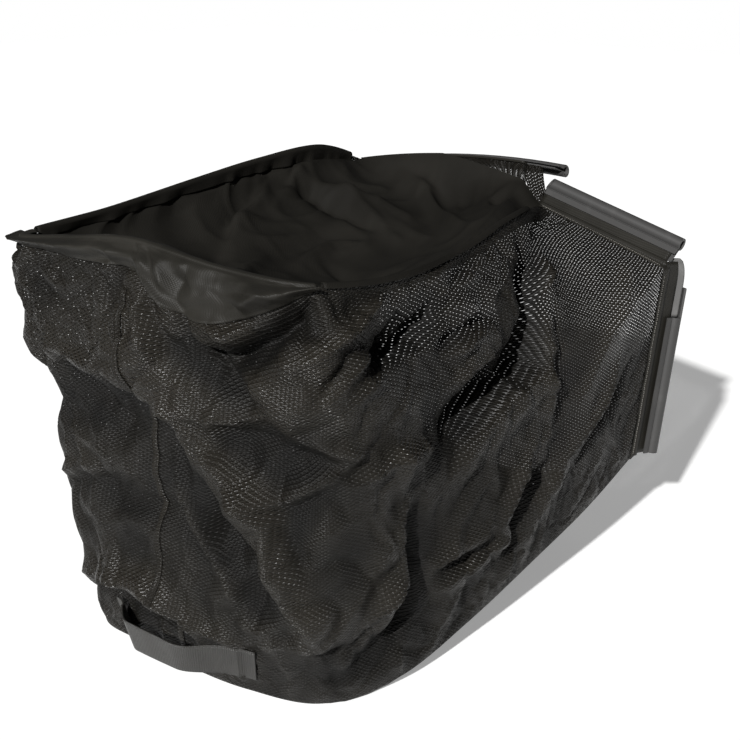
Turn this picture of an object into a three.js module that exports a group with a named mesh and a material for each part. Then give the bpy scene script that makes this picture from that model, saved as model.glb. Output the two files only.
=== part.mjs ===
// Grass collection bag for a walk-behind mower, as it stands without its wire frame.
// Millimetres. +X points to the mouth, +Y to the far side, +Z up.
import * as THREE from 'three';

// Overall sizes of the cloth body
const LENGTH = 515;            // rear rim to the mouth hems
const WIDTH = 412;             // across the mouth
const HEIGHT = 397;            // floor to the rim of the rear

// Cloth
const MESH_CLOTH = 1.6;        // knitted mesh wall
const COVER_CLOTH = 1.2;       // woven dust cover
const BOTTOM_CLOTH = 2.0;      // coated bottom panel
const SEAM_GAP = 0.3;          // free gap between sewn layers
const COVER_TUCK = 32;         // its front edge dips at the shoulder over this length
const COVER_DIP = 52;
const COVER_FRONT = 0.35;      // it ends this far behind the line of the top hem
const COVER_SAG = 92;          // how deep the cover hangs in
const BOTTOM_SAG = 85;         // how far the bottom would hang under its edges
const CELL = 22;               // size of one cloth facet

// Folded hems of the mouth and the plastic bindings that grip them
const HEM_WIDTH = 24;
const HEM_THICK = 2.2;
const BIND_BORE = 8;           // clips over the frame wire
const BIND_WALL = 2.2;
const LEAF_THICK = 1.4;
const LEAF_CLEAR = 0.3;
const OUTER_LEAF = 11;         // leaf seen from outside
const INNER_LEAF = 15;
const BIND_STEPS = 8;

// Rim tape, rear band, seam tape and grab handle
const TAPE_THICK = 1.2;
const RIM_TAPE_LEG = 7;
const SEAM_TAPE_WIDTH = 9;
const BAND_THICK = 1.2;
const LAYER_EASE = 0.9;        // tapes, band and handle lie loosely on the mesh
const BAND_PUFF = 9;           // the band's lower part stands off the mesh
const STRAP_WIDTH = 30;
const STRAP_THICK = 1.8;
const STRAP_REACH = 0.98;      // half length on the wall, in stations
const STRAP_STAND = 17;        // how far the loop stands off the wall
const STRAP_LEVEL = 0.40;      // height on the wall, in guide curves

const meshCloth = new THREE.MeshStandardMaterial({ color: 0x1d1c1a, roughness: 0.62, side: THREE.DoubleSide });
const wovenCloth = new THREE.MeshStandardMaterial({ color: 0x191816, roughness: 0.8 });
const hemCloth = new THREE.MeshStandardMaterial({ color: 0x22211e, roughness: 0.75 });
const webbing = new THREE.MeshStandardMaterial({ color: 0x2a2926, roughness: 0.55 });
const binding = new THREE.MeshStandardMaterial({ color: 0x2e2d2e, roughness: 0.38 });

// The wall is a loft through five guide curves, from the bottom seam to the rim. Each runs
// from the near side of the mouth, round the rear, to the far side of the mouth, in 14
// steps of about 100 mm. A point is [along the length, across the half width, up].
const BOTTOM_SEAM = [
  [0.975, -0.910, 0.305], [0.812, -0.905, 0.222], [0.630, -0.900, 0.155], [0.432, -0.890, 0.086],
  [0.250, -0.850, 0.028], [0.115, -0.700, 0.007], [0.068, -0.360, 0.006], [0.060, 0.000, 0.006],
  [0.070, 0.360, 0.006], [0.098, 0.665, 0.007], [0.250, 0.840, 0.028], [0.432, 0.890, 0.086],
  [0.630, 0.900, 0.155], [0.812, 0.905, 0.222], [0.985, 0.910, 0.307],
];
const BELLY = [
  [0.994, -0.951, 0.570], [0.830, -0.961, 0.485], [0.650, -0.951, 0.405], [0.451, -0.938, 0.350],
  [0.240, -0.912, 0.300], [0.067, -0.835, 0.280], [0.022, -0.437, 0.270], [0.012, 0.000, 0.270],
  [0.024, 0.437, 0.270], [0.078, 0.775, 0.280], [0.240, 0.912, 0.300], [0.451, 0.938, 0.350],
  [0.650, 0.951, 0.405], [0.830, 0.961, 0.465], [0.990, 0.933, 0.520],
];
const SHOULDER = [
  [1.012, -0.990, 0.820], [0.825, -0.985, 0.725], [0.653, -0.951, 0.668], [0.451, -0.951, 0.642],
  [0.240, -0.951, 0.617], [0.048, -0.893, 0.605], [0.000, -0.461, 0.605], [-0.010, 0.000, 0.617],
  [0.000, 0.461, 0.610], [0.050, 0.775, 0.620], [0.240, 0.930, 0.640], [0.451, 0.960, 0.650],
  [0.653, 0.965, 0.665], [0.825, 0.985, 0.700], [0.994, 0.956, 0.730],
];
const CROWN = [
  [1.006, -0.617, 0.877], [0.825, -0.728, 0.862], [0.653, -0.835, 0.850], [0.451, -0.913, 0.844],
  [0.240, -0.932, 0.831], [0.035, -0.903, 0.844], [-0.023, -0.461, 0.844], [-0.035, 0.000, 0.869],
  [-0.025, 0.461, 0.865], [0.015, 0.890, 0.850], [0.240, 0.940, 0.860], [0.451, 0.965, 0.870],
  [0.653, 0.965, 0.865], [0.825, 0.980, 0.850], [0.997, 0.970, 0.865],
];
const RIM = [
  [1.000, -0.243, 0.934], [0.835, -0.445, 0.965], [0.653, -0.621, 0.977], [0.451, -0.777, 0.967],
  [0.240, -0.864, 0.962], [0.042, -0.835, 0.987], [-0.004, -0.461, 1.003], [-0.023, 0.000, 1.033],
  [-0.012, 0.461, 1.005], [0.027, 0.880, 0.975], [0.240, 0.915, 0.990], [0.451, 0.925, 1.020],
  [0.653, 0.940, 1.045], [0.855, 0.965, 1.052], [1.000, 0.985, 1.000],
];
const GUIDES = [BOTTOM_SEAM, BELLY, SHOULDER, CROWN, RIM];
const NEAR_MOUTH = 0;
const NEAR_CORNER = 4.7;
const REAR_SEAM = 7;
const FAR_CORNER = 9.3;
const FAR_MOUTH = 14;
const TOP = 4;
const RIM_STEP = 60;           // from the crown guide up to the rim

// Folds of the wall: from and to, in guide steps along and up, then half width and height
// in millimetres. A ridge stands out of the bag, a valley has a height below zero.
const FOLDS = [
  // the long shelf round the rear, and the hollow under it
  [8.6, 2.5, 7.2, 2.6, 30, 7], [7.2, 2.6, 5.5, 2.6, 32, 8], [5.5, 2.6, 4.3, 2.35, 28, 6],
  [8.5, 2.0, 7.2, 2.1, 26, -7], [7.2, 2.1, 5.6, 2.15, 26, -9], [5.6, 2.15, 4.4, 1.95, 26, -6],
  // under the band: a slanting pleat, a crescent and the puff beside the seam
  [6.45, 2.8, 5.75, 2.5, 16, -11], [6.15, 2.88, 5.8, 2.92, 16, -8], [5.8, 2.92, 5.15, 3.3, 16, -9],
  [6.5, 3.15, 5.8, 3.1, 16, 7], [6.85, 3.5, 6.8, 2.7, 20, 8], [5.3, 3.1, 4.9, 2.8, 20, 7],
  // slanting folds in the lower half of the rear
  [6.5, 2.1, 5.75, 1.65, 20, 9], [5.75, 1.65, 5.1, 0.9, 18, 7], [6.75, 1.9, 6.2, 1.35, 20, -9],
  [6.2, 1.35, 5.5, 0.8, 18, -7], [7.6, 1.45, 6.9, 1.5, 16, -5],
  // over and under the handle
  [7.9, 0.85, 7.2, 0.8, 16, 7], [7.2, 0.8, 6.6, 0.65, 16, 6],
  // pleats under the rim of the near side
  [4.45, 3.05, 3.95, 3.15, 20, -12], [3.75, 1.95, 2.55, 2.3, 24, -15], [3.3, 1.62, 2.25, 1.85, 16, 8],
  // the deep fold from the mouth's top corner and the lip beside it
  [0.4, 3.8, 2.15, 3.1, 16, -10], [2.15, 3.1, 2.4, 2.2, 18, -15], [1.85, 3.0, 2.0, 2.2, 16, 6],
  // creases of the taut panel, and the folds at the near bottom corner
  [0.5, 2.4, 2.0, 0.84, 16, 5], [2.0, 0.84, 2.5, 0.36, 16, 5], [2.3, 0.95, 2.45, 0.48, 16, -5],
  [4.15, 1.6, 4.0, 0.6, 16, -9], [4.4, 1.5, 4.25, 0.7, 16, 6], [4.15, 0.9, 4.7, 0.5, 16, 7],
  [4.2, 0.6, 4.8, 0.3, 16, -7],
  // the far side
  [9.6, 2.6, 11.0, 2.4, 30, 10], [9.6, 2.1, 11.2, 1.9, 26, -9], [10.5, 3.2, 11.6, 2.9, 22, -10],
  [11.6, 2.9, 11.9, 2.0, 20, -9], [10.0, 1.5, 10.2, 0.6, 18, -8], [12.2, 2.2, 11.4, 0.8, 16, 6],
  [9.5, 3.3, 9.9, 2.9, 20, 7],
];

function smooth(from, to, value) {
  const t = THREE.MathUtils.clamp((value - from) / (to - from), 0, 1);
  return t * t * (3 - 2 * t);
}

// Uniform Catmull-Rom curve through the points, at a place counted in points
function spline(points, place) {
  const last = points.length - 1;
  const i = Math.min(Math.max(Math.floor(place), 0), last - 1);
  const t = place - i;
  const p0 = points[Math.max(i - 1, 0)];
  const p1 = points[i];
  const p2 = points[i + 1];
  const p3 = points[Math.min(i + 2, last)];
  return p1.map((value, k) => value + 0.5 * t * (p2[k] - p0[k]
    + t * (2 * p0[k] - 5 * p1[k] + 4 * p2[k] - p3[k]
    + t * (3 * (p1[k] - p2[k]) + p3[k] - p0[k]))));
}

const inSizes = ([along, across, up]) => new THREE.Vector3(along * LENGTH, across * WIDTH / 2, up * HEIGHT);

// The loft without its folds: straight between the guides at the mouth, round elsewhere
function loft(u, v) {
  const column = GUIDES.map((guide) => spline(guide, u));
  const round = inSizes(spline(column, v));
  const i = THREE.MathUtils.clamp(Math.floor(v), 0, TOP - 1);
  const straight = inSizes(column[i]).lerp(inSizes(column[i + 1]), v - i);
  const fromMouth = Math.min(u - NEAR_MOUTH, FAR_MOUTH - u);
  return straight.lerp(round, smooth(0, 0.8, fromMouth));
}

function foldHeight(u, v) {
  let height = 0;
  for (const [u0, v0, u1, v1, width, rise] of FOLDS) {
    const du = u1 - u0;
    const dv = v1 - v0;
    const t = THREE.MathUtils.clamp(((u - u0) * du + (v - v0) * dv) / (du * du + dv * dv), 0, 1);
    const away = 100 * Math.hypot(u - u0 - t * du, v - v0 - t * dv) / width;
    height += rise * Math.exp(-away * away);
  }
  const fromMouth = Math.min(u - NEAR_MOUTH, FAR_MOUTH - u);
  return height * smooth(0, 0.3, fromMouth) * smooth(0, 0.3, v) * smooth(TOP, TOP - 0.3, v);
}

function outward(surface, u, v) {
  const step = 0.01;
  const along = surface(u + step, v).sub(surface(u - step, v));
  const up = surface(u, v + step).sub(surface(u, v - step));
  return along.cross(up).normalize();
}

function wall(u, v, off = 0) {
  const point = loft(u, v);
  const normal = outward(loft, u, v).negate();
  return point.addScaledVector(normal, foldHeight(u, v) + off);
}

const wallNormal = (u, v) => outward(wall, u, v).negate();

// A closed solid from a grid of front points and a grid of back points
function plate(front, back) {
  const rows = front.length;
  const columns = front[0].length;
  const position = [...front.flat(), ...back.flat()].flatMap((p) => [p.x, p.y, p.z]);
  const index = [];
  const quad = (a, b, c, d) => index.push(a, b, c, a, c, d);
  const F = (r, c) => r * columns + c;
  const B = (r, c) => rows * columns + F(r, c);
  for (let r = 0; r < rows - 1; r += 1) {
    for (let c = 0; c < columns - 1; c += 1) {
      quad(F(r, c), F(r, c + 1), F(r + 1, c + 1), F(r + 1, c));
      quad(B(r, c), B(r + 1, c), B(r + 1, c + 1), B(r, c + 1));
    }
    quad(F(r, 0), F(r + 1, 0), B(r + 1, 0), B(r, 0));
    quad(F(r + 1, columns - 1), F(r, columns - 1), B(r, columns - 1), B(r + 1, columns - 1));
  }
  for (let c = 0; c < columns - 1; c += 1) {
    quad(F(0, c + 1), F(0, c), B(0, c), B(0, c + 1));
    quad(F(rows - 1, c), F(rows - 1, c + 1), B(rows - 1, c + 1), B(rows - 1, c));
  }
  return closed(position, index);
}

// The faces are turned if the solid came out inside out
function closed(position, index) {
  let volume = 0;
  const at = (i) => new THREE.Vector3(position[3 * i], position[3 * i + 1], position[3 * i + 2]);
  for (let i = 0; i < index.length; i += 3) {
    volume += at(index[i]).dot(at(index[i + 1]).cross(at(index[i + 2])));
  }
  const geometry = new THREE.BufferGeometry();
  geometry.setAttribute('position', new THREE.Float32BufferAttribute(position, 3));
  geometry.setIndex(volume < 0 ? index.reverse() : index);
  geometry.computeVertexNormals();
  return geometry;
}

// A sheet of even thickness from a grid of middle points
function sheet(grid, thickness, keepFlat = false) {
  const rows = grid.length;
  const columns = grid[0].length;
  const normal = (r, c) => {
    const along = grid[Math.min(r + 1, rows - 1)][c].clone().sub(grid[Math.max(r - 1, 0)][c]);
    const across = grid[r][Math.min(c + 1, columns - 1)].clone().sub(grid[r][Math.max(c - 1, 0)]);
    return keepFlat ? new THREE.Vector3(0, 0, 1) : along.cross(across).normalize();
  };
  const shifted = (side) => grid.map((row, r) => row.map((point, c) =>
    point.clone().addScaledVector(normal(r, c), side * thickness / 2)));
  return plate(shifted(1), shifted(-1));
}

const steps = (from, to, count) => Array.from({ length: count + 1 }, (_, i) => from + (to - from) * i / count);

// A sheet lying on the wall's outer side, between two places along and two levels
function wallSheet(columns, rows, thickness, off) {
  return sheet(columns.map((u) => rows.map((v) => wall(u, v, typeof off === 'function' ? off(u, v) : off))), thickness);
}

const along = (from, to) => steps(from, to, Math.round(Math.abs(to - from) * 100 / CELL));
const HALF_SLIT = 0.002;       // half the slit between the two halves, in guide steps

const nearColumns = along(NEAR_MOUTH, REAR_SEAM - HALF_SLIT);
const farColumns = along(REAR_SEAM + HALF_SLIT, FAR_MOUTH);

// What is sewn on the walls shares their columns, so that the facets lie face to face
const columnsBetween = (from, to) => [...nearColumns, ...farColumns].filter((u) => u > from && u < to);

const wallRows = steps(0, TOP, Math.round(HEIGHT / CELL));
const meshWall = (columns) => wallSheet(columns, wallRows, MESH_CLOTH, 0);

// A patch between four edges, rows from the mouth to the rear, columns from near to far
function patch(near, far, mouth, rear) {
  const rows = near.length - 1;
  const columns = mouth.length - 1;
  return near.map((_, r) => mouth.map((_, c) => {
    const q = r / rows;
    const p = c / columns;
    const ruled = near[r].clone().lerp(far[r], p).add(mouth[c].clone().lerp(rear[c], q));
    const corners = mouth[0].clone().lerp(mouth[columns], p).lerp(rear[0].clone().lerp(rear[columns], p), q);
    return ruled.sub(corners);
  }));
}

// The inside of the walls at a level, where the cover and the bottom are sewn on.
// An edge stops short of the wall by the seam gap and the half thickness that its tilt needs.
const sideColumns = nearColumns.filter((u) => u <= NEAR_CORNER);
const rearColumns = [...nearColumns, ...farColumns].filter((u) =>
  u >= sideColumns.at(-1) && u <= FAR_MOUTH - sideColumns.at(-1) + HALF_SLIT);
const REAR_STEPS = rearColumns.length - 1;
function insideEdges(level, tiltGap, mouthEdge) {
  const inside = (u) => wall(u, level, -(MESH_CLOTH / 2 + SEAM_GAP + tiltGap));
  return {
    near: sideColumns.map(inside),
    far: sideColumns.map((u) => inside(FAR_MOUTH - u)),
    rear: rearColumns.map(inside),
    mouth: mouthEdge,
  };
}

// The four sides of the mouth: the line where the wall or cover ends, and its hem's direction
const corner = (guide, u) => inSizes(guide[u]);
const MOUTH_LOW_NEAR = corner(BOTTOM_SEAM, NEAR_MOUTH);
const MOUTH_SHOULDER = corner(SHOULDER, NEAR_MOUTH);
const MOUTH_TOP_NEAR = corner(RIM, NEAR_MOUTH);
const MOUTH_TOP_FAR = corner(RIM, FAR_MOUTH);
const MOUTH_LOW_FAR = corner(BOTTOM_SEAM, FAR_MOUTH);
const BOTTOM_HEM_DIP = 72;     // the bottom hem hangs lower in its middle
const TOP_HEM_RISE = 7;
const TOP_HEM_LIFT = 47;       // the top hem starts above the shoulder's end
const TOP_HEM_SHIFT = 14;      // and further across

function bowed(from, to, bow, count) {
  return steps(0, 1, count).map((t) => from.clone().lerp(to, t).addScaledVector(bow, 4 * t * (1 - t)));
}

const TOP_HEM_START = MOUTH_TOP_NEAR.clone().add(new THREE.Vector3(0, TOP_HEM_SHIFT, TOP_HEM_LIFT));
const topEdge = bowed(TOP_HEM_START, MOUTH_TOP_FAR, new THREE.Vector3(0, 0, TOP_HEM_RISE), REAR_STEPS);
const lowEdge = bowed(MOUTH_LOW_NEAR, MOUTH_LOW_FAR, new THREE.Vector3(0, 0, -BOTTOM_HEM_DIP), REAR_STEPS);

// A profile swept along a path: local axes are out (from the cloth) and side (its normal)
function sweep(section, path, out, side) {
  const clockwise = THREE.ShapeUtils.isClockWise(section.map(([a, b]) => new THREE.Vector2(a, b)));
  const profile = clockwise ? section.toReversed() : section;
  const contour = profile.map(([a, b]) => new THREE.Vector2(a, b));
  const faces = THREE.ShapeUtils.triangulateShape(contour, []);
  const place = (base, [a, b]) => base.clone().addScaledVector(out, a).addScaledVector(side, b);
  const position = path.flatMap((base) => profile.flatMap((p) => place(base, p).toArray()));
  const n = profile.length;
  const index = [];
  for (let r = 0; r < path.length - 1; r += 1) {
    for (let c = 0; c < n; c += 1) {
      const a = r * n + c;
      const b = r * n + (c + 1) % n;
      index.push(a, b, b + n, a, b + n, a + n);
    }
  }
  const last = (path.length - 1) * n;
  for (const [a, b, c] of faces) {
    index.push(c, b, a, last + a, last + b, last + c);
  }
  return closed(position, index);
}

// Keyhole section: a split tube that clips over the wire, and two leaves over the hem
const TUBE_R = BIND_BORE / 2 + BIND_WALL;
const TUBE_AT = HEM_WIDTH + BIND_BORE / 2 + 1;
const GRIP = HEM_THICK / 2 + LEAF_CLEAR;
function keyhole(arcSteps = 10) {
  const lip = GRIP + LEAF_THICK;
  const arc = (radius, opening, turn) => {
    const half = Math.asin(opening / radius);
    const angles = steps(Math.PI - half, -Math.PI + half, arcSteps);
    const ring = angles.map((a) => [TUBE_AT + radius * Math.cos(a), radius * Math.sin(a)]);
    return turn ? ring.reverse() : ring;
  };
  const outerTip = TUBE_AT - TUBE_R - OUTER_LEAF;
  const innerTip = TUBE_AT - TUBE_R - INNER_LEAF;
  return [
    [outerTip, GRIP], [outerTip, lip], ...arc(TUBE_R, lip, false),
    [innerTip, -lip], [innerTip, -GRIP], ...arc(BIND_BORE / 2, GRIP, true),
  ];
}

// One side of the mouth: where it runs, which way its hem points and how long its binding is
function mouthSide(from, to, rollDegrees, outwards, bow) {
  const line = to.clone().sub(from);
  const tangent = line.clone().normalize();
  const forward = new THREE.Vector3(1, 0, 0);
  forward.addScaledVector(tangent, -forward.dot(tangent)).normalize();
  const lift = outwards.clone().addScaledVector(tangent, -outwards.dot(tangent));
  lift.addScaledVector(forward, -lift.dot(forward)).normalize();
  const roll = THREE.MathUtils.degToRad(rollDegrees);
  const out = forward.clone().multiplyScalar(Math.cos(roll)).addScaledVector(lift, Math.sin(roll));
  const side = lift.clone().multiplyScalar(Math.cos(roll)).addScaledVector(forward, -Math.sin(roll));
  const start = SEAM_GAP + GRIP * Math.abs(Math.sin(roll));
  return { from, to, tangent, out, side, bow, start, length: line.length() };
}

const UP = new THREE.Vector3(0, 0, 1);
const NEARWARD = new THREE.Vector3(0, -1, 0);
const FARWARD = new THREE.Vector3(0, 1, 0);
const SIDES = {
  side_near: mouthSide(MOUTH_LOW_NEAR, MOUTH_SHOULDER, 12, NEARWARD, 0),
  shoulder: mouthSide(MOUTH_SHOULDER, MOUTH_TOP_NEAR, 45, UP, 0),
  top: mouthSide(TOP_HEM_START, MOUTH_TOP_FAR, -21, UP, TOP_HEM_RISE),
  side_far: mouthSide(MOUTH_TOP_FAR, MOUTH_LOW_FAR, 12, FARWARD, 0),
  bottom: mouthSide(MOUTH_LOW_FAR, MOUTH_LOW_NEAR, 0, UP.clone().negate(), 0),
};

// The path of a side through some distances from its start, with its bow
function sidePath(side, places, sag = UP.clone().multiplyScalar(side.bow)) {
  return places.map((d) => {
    const t = d / side.length;
    return side.from.clone().addScaledVector(side.tangent, d).addScaledVector(sag, 4 * t * (1 - t));
  });
}

const CORNER_GAP = 3;          // hems stop short of the mouth's corners
const HEM_STEPS = 12;
const hemPlaces = (side, start = CORNER_GAP) => steps(start, side.length - CORNER_GAP, HEM_STEPS);

function hem(side, sag, start) {
  const half = HEM_THICK / 2;
  const section = [[side.start, -half], [HEM_WIDTH, -half], [HEM_WIDTH, half], [side.start, half]];
  return sweep(section, sidePath(side, hemPlaces(side, start), sag), side.out, side.side);
}

function bindingStrip(side, places, sag) {
  return sweep(keyhole(), sidePath(side, places, sag), side.out, side.side);
}

// The woven band folded over the rear rim, hanging lower towards the near corner
const BAND_FROM = 4.95;
const BAND_TO = 9.2;
const BAND_DEPTHS = [6, 28, 42, 43, 27, 26, 24, 18, 12, 6];
function bandLevel(u) {
  const place = (BAND_DEPTHS.length - 1) * (u - BAND_FROM) / (BAND_TO - BAND_FROM);
  return TOP - spline(BAND_DEPTHS.map((depth) => [depth]), place)[0] / RIM_STEP;
}

function rearBand() {
  const columns = columnsBetween(BAND_FROM, BAND_TO);
  const clear = MESH_CLOTH / 2 + LAYER_EASE + BAND_THICK / 2;
  const grid = columns.map((u) => {
    const low = bandLevel(u);
    const outside = steps(0, 1, 5).map((t) => {
      const v = low + (TOP - low) * t;
      return wall(u, v, clear + BAND_PUFF * Math.sin(Math.PI * Math.min(1, 1.15 * t)) ** 2);
    });
    const rimPoint = wall(u, TOP);
    const normal = wallNormal(u, TOP - 0.01);
    const over = [[0.6 * clear, 1.9], [-2, 3.2], [-9, 2.4]].map(([out, up]) =>
      rimPoint.clone().addScaledVector(normal, out).addScaledVector(UP, up));
    return [...outside, ...over];
  });
  return sheet(grid, BAND_THICK);
}

// U-shaped tape over the rim of a side wall
function rimTape(from, to) {
  const clear = MESH_CLOTH / 2 + LAYER_EASE + TAPE_THICK / 2;
  const leg = RIM_TAPE_LEG / RIM_STEP;
  const grid = columnsBetween(from, to).map((u) => {
    const rimPoint = wall(u, TOP);
    const normal = wallNormal(u, TOP - 0.01);
    const upward = wall(u, TOP).sub(wall(u, TOP - 0.02)).normalize();
    const at = (out, up) => rimPoint.clone().addScaledVector(normal, out).addScaledVector(upward, up);
    return [wall(u, TOP - leg, clear), at(clear, 0), at(0.6 * clear, 1.2 * clear),
      at(-0.6 * clear, 1.2 * clear), at(-clear, 0), wall(u, TOP - leg, -clear)];
  });
  return sheet(grid, TAPE_THICK);
}

function seamTape() {
  const half = SEAM_TAPE_WIDTH / 200;
  const clear = MESH_CLOTH / 2 + LAYER_EASE + TAPE_THICK / 2;
  const rows = wallRows.filter((v) => v > 0 && v < bandLevel(REAR_SEAM));
  return wallSheet(steps(REAR_SEAM - half, REAR_SEAM + half, 2), rows, TAPE_THICK, clear);
}

// The webbing handle: flat at its stitched ends, a loop that stands off between them
function grabHandle() {
  const clear = MESH_CLOTH / 2 + LAYER_EASE + TAPE_THICK + SEAM_GAP + STRAP_THICK / 2;
  const half = STRAP_WIDTH / 200;
  const columns = steps(REAR_SEAM - STRAP_REACH, REAR_SEAM + STRAP_REACH, 22);
  const grid = columns.map((u) => {
    const t = (u - REAR_SEAM) / STRAP_REACH;
    const loop = STRAP_STAND * smooth(-0.7, -0.1, t) * smooth(0.93, 0.5, t);
    const flat = Math.abs(t) > 0.8 ? MESH_CLOTH / 2 + LAYER_EASE + STRAP_THICK / 2 : clear;
    const upper = wall(u, STRAP_LEVEL + half, flat + loop);
    const lower = wall(u, STRAP_LEVEL - half, flat + loop);
    return [lower, lower.clone().lerp(upper, 0.5), upper];
  });
  return sheet(grid, STRAP_THICK);
}

function dustCover() {
  const level = wallRows.at(-2);
  const mouth = topEdge.map((p) => {
    const tuck = 1 - smooth(0.2 * COVER_TUCK, COVER_TUCK, p.y - TOP_HEM_START.y);
    return p.clone().add(new THREE.Vector3(-COVER_FRONT, 0, -COVER_DIP * tuck));
  });
  const edges = insideEdges(level, COVER_CLOTH / 2, mouth);
  edges.mouth[0] = edges.near[0].clone();
  edges.mouth[REAR_STEPS] = edges.far[0].clone();
  const grid = patch(edges.near, edges.far, edges.mouth, edges.rear);
  grid.forEach((row, r) => row.forEach((point, c) => {
    const q = r / (grid.length - 1);
    const p = c / (row.length - 1);
    const hang = Math.sin(Math.PI * p) ** 0.8 * Math.sin(Math.PI * q ** 0.8) ** 0.8;
    point.z -= COVER_SAG * hang;
  }));
  return sheet(grid, COVER_CLOTH);
}

function bottomPanel() {
  const edges = insideEdges(0, BOTTOM_CLOTH / 4, lowEdge.map((p) => p.clone().add(new THREE.Vector3(-1, 0, 0))));
  edges.mouth[0] = edges.near[0].clone();
  edges.mouth[REAR_STEPS] = edges.far[0].clone();
  const grid = patch(edges.near, edges.far, edges.mouth, edges.rear);
  grid.forEach((row, r) => row.forEach((point, c) => {
    const q = r / (grid.length - 1);
    const p = c / (row.length - 1);
    const hang = (1 - Math.abs(2 * p - 1) ** 1.15) * smooth(0, 0.05, q) * smooth(1, 0.96, q);
    point.z = Math.max(BOTTOM_CLOTH / 2, point.z - BOTTOM_SAG * hang);
  }));
  return sheet(grid, BOTTOM_CLOTH, true);
}

const bag = new THREE.Group();
function add(name, geometry, material) {
  const mesh = new THREE.Mesh(geometry, material);
  mesh.name = name;
  bag.add(mesh);
}

add('mesh_wall_near', meshWall(nearColumns), meshCloth);
add('mesh_wall_far', meshWall(farColumns), meshCloth);
add('bottom_panel', bottomPanel(), hemCloth);
add('dust_cover', dustCover(), wovenCloth);
add('rear_band', rearBand(), wovenCloth);
add('rear_seam_tape', seamTape(), hemCloth);
const TAPE_START = 0.9;        // the rim tape ends before the mouth's corners
add('rim_tape_near', rimTape(TAPE_START, BAND_FROM - 0.05), hemCloth);
add('rim_tape_far', rimTape(BAND_TO + 0.05, FAR_MOUTH - 0.3), hemCloth);
add('grab_handle', grabHandle(), webbing);

const dip = UP.clone().multiplyScalar(-BOTTOM_HEM_DIP);
add('hem_side_near', hem(SIDES.side_near), hemCloth);
add('hem_shoulder', hem(SIDES.shoulder), hemCloth);
add('hem_top', hem(SIDES.top, undefined, COVER_TUCK), hemCloth);
add('hem_side_far', hem(SIDES.side_far), hemCloth);
add('hem_bottom', hem(SIDES.bottom, dip), hemCloth);

// Where each binding starts and ends, in from the ends of its side: below zero it runs past
const BINDING_ENDS = { side_near: [2, 20], shoulder: [-4, 2], top: [-29, 8], side_far: [20, 10] };
for (const [name, [start, end]] of Object.entries(BINDING_ENDS)) {
  const places = steps(start, SIDES[name].length - end, BIND_STEPS);
  add(`binding_${name}`, bindingStrip(SIDES[name], places), binding);
}
const BOTTOM_BINDING = [3, 10];  // it covers the middle of the hem, counted in hem steps
add('binding_bottom', bindingStrip(SIDES.bottom, hemPlaces(SIDES.bottom).slice(...BOTTOM_BINDING), dip), binding);

// The origin is the middle of the bag's footprint, on the floor
const box = new THREE.Box3().setFromObject(bag, true);
const middle = box.getCenter(new THREE.Vector3());
bag.position.set(-middle.x, -middle.y, -box.min.z);
bag.updateMatrixWorld(true);

export default bag;
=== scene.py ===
# %% [markdown]
# # A mower's grass bag
# The object is a soft grass collection bag, standing on the floor without its wire frame. Its
# walls are an open knitted mesh, its top is a woven dust cover that hangs in, and its mouth is
# edged with cloth hems and plastic bindings. The imported solids are loaded first: most pieces
# made here hide the solid of the same name, and every piece stays in its place.

import math

import bmesh
import bpy
import numpy as np
from mathutils import Matrix, Vector


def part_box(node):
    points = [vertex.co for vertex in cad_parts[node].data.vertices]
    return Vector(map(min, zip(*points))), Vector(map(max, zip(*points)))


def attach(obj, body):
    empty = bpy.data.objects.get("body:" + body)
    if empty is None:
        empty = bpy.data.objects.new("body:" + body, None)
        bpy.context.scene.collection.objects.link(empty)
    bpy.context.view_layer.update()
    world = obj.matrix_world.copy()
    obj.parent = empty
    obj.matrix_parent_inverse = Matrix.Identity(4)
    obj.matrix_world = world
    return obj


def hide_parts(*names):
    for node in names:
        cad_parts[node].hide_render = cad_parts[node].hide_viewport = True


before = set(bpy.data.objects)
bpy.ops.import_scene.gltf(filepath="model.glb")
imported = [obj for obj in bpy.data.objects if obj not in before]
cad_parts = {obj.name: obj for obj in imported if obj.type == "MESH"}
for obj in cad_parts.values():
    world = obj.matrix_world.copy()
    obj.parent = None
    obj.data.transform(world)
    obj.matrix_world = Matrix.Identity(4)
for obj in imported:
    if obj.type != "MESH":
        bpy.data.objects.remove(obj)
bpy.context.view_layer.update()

# %% [markdown]
# ## Camera, floor and light
# The camera comes first, because every later choice is judged through it. Its place was found
# from the bag's corners. The floor is pale and shows white to the camera, but keeps shadows. It
# sends less light to the cloth than it shows to the camera, so that hollows stay dark.

# %% Camera
PICTURE = 740
FOCAL_PIXELS = 1500
camera_data = bpy.data.cameras.new("photo_camera")
camera_data.sensor_width = 36.0
camera_data.lens = FOCAL_PIXELS / PICTURE * camera_data.sensor_width
camera = bpy.data.objects.new("photo_camera", camera_data)
bpy.context.collection.objects.link(camera)
heading, dip = math.radians(40.1), math.radians(16.8)
look = Vector((math.cos(dip) * math.cos(heading), math.cos(dip) * math.sin(heading), -math.sin(dip)))
camera.location = (-1.0782, -0.9365, 0.6668)
camera.rotation_euler = look.to_track_quat("-Z", "Y").to_euler()
bpy.context.scene.camera = camera
print("lens", round(camera_data.lens, 2), "mm")


# %% [markdown]
# ## Writing materials as sums
# A material is easier to read as arithmetic than as a pile of links. `Value` wraps one socket and
# turns + - * into Math nodes. `Finish` holds a material and makes any other node.

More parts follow.
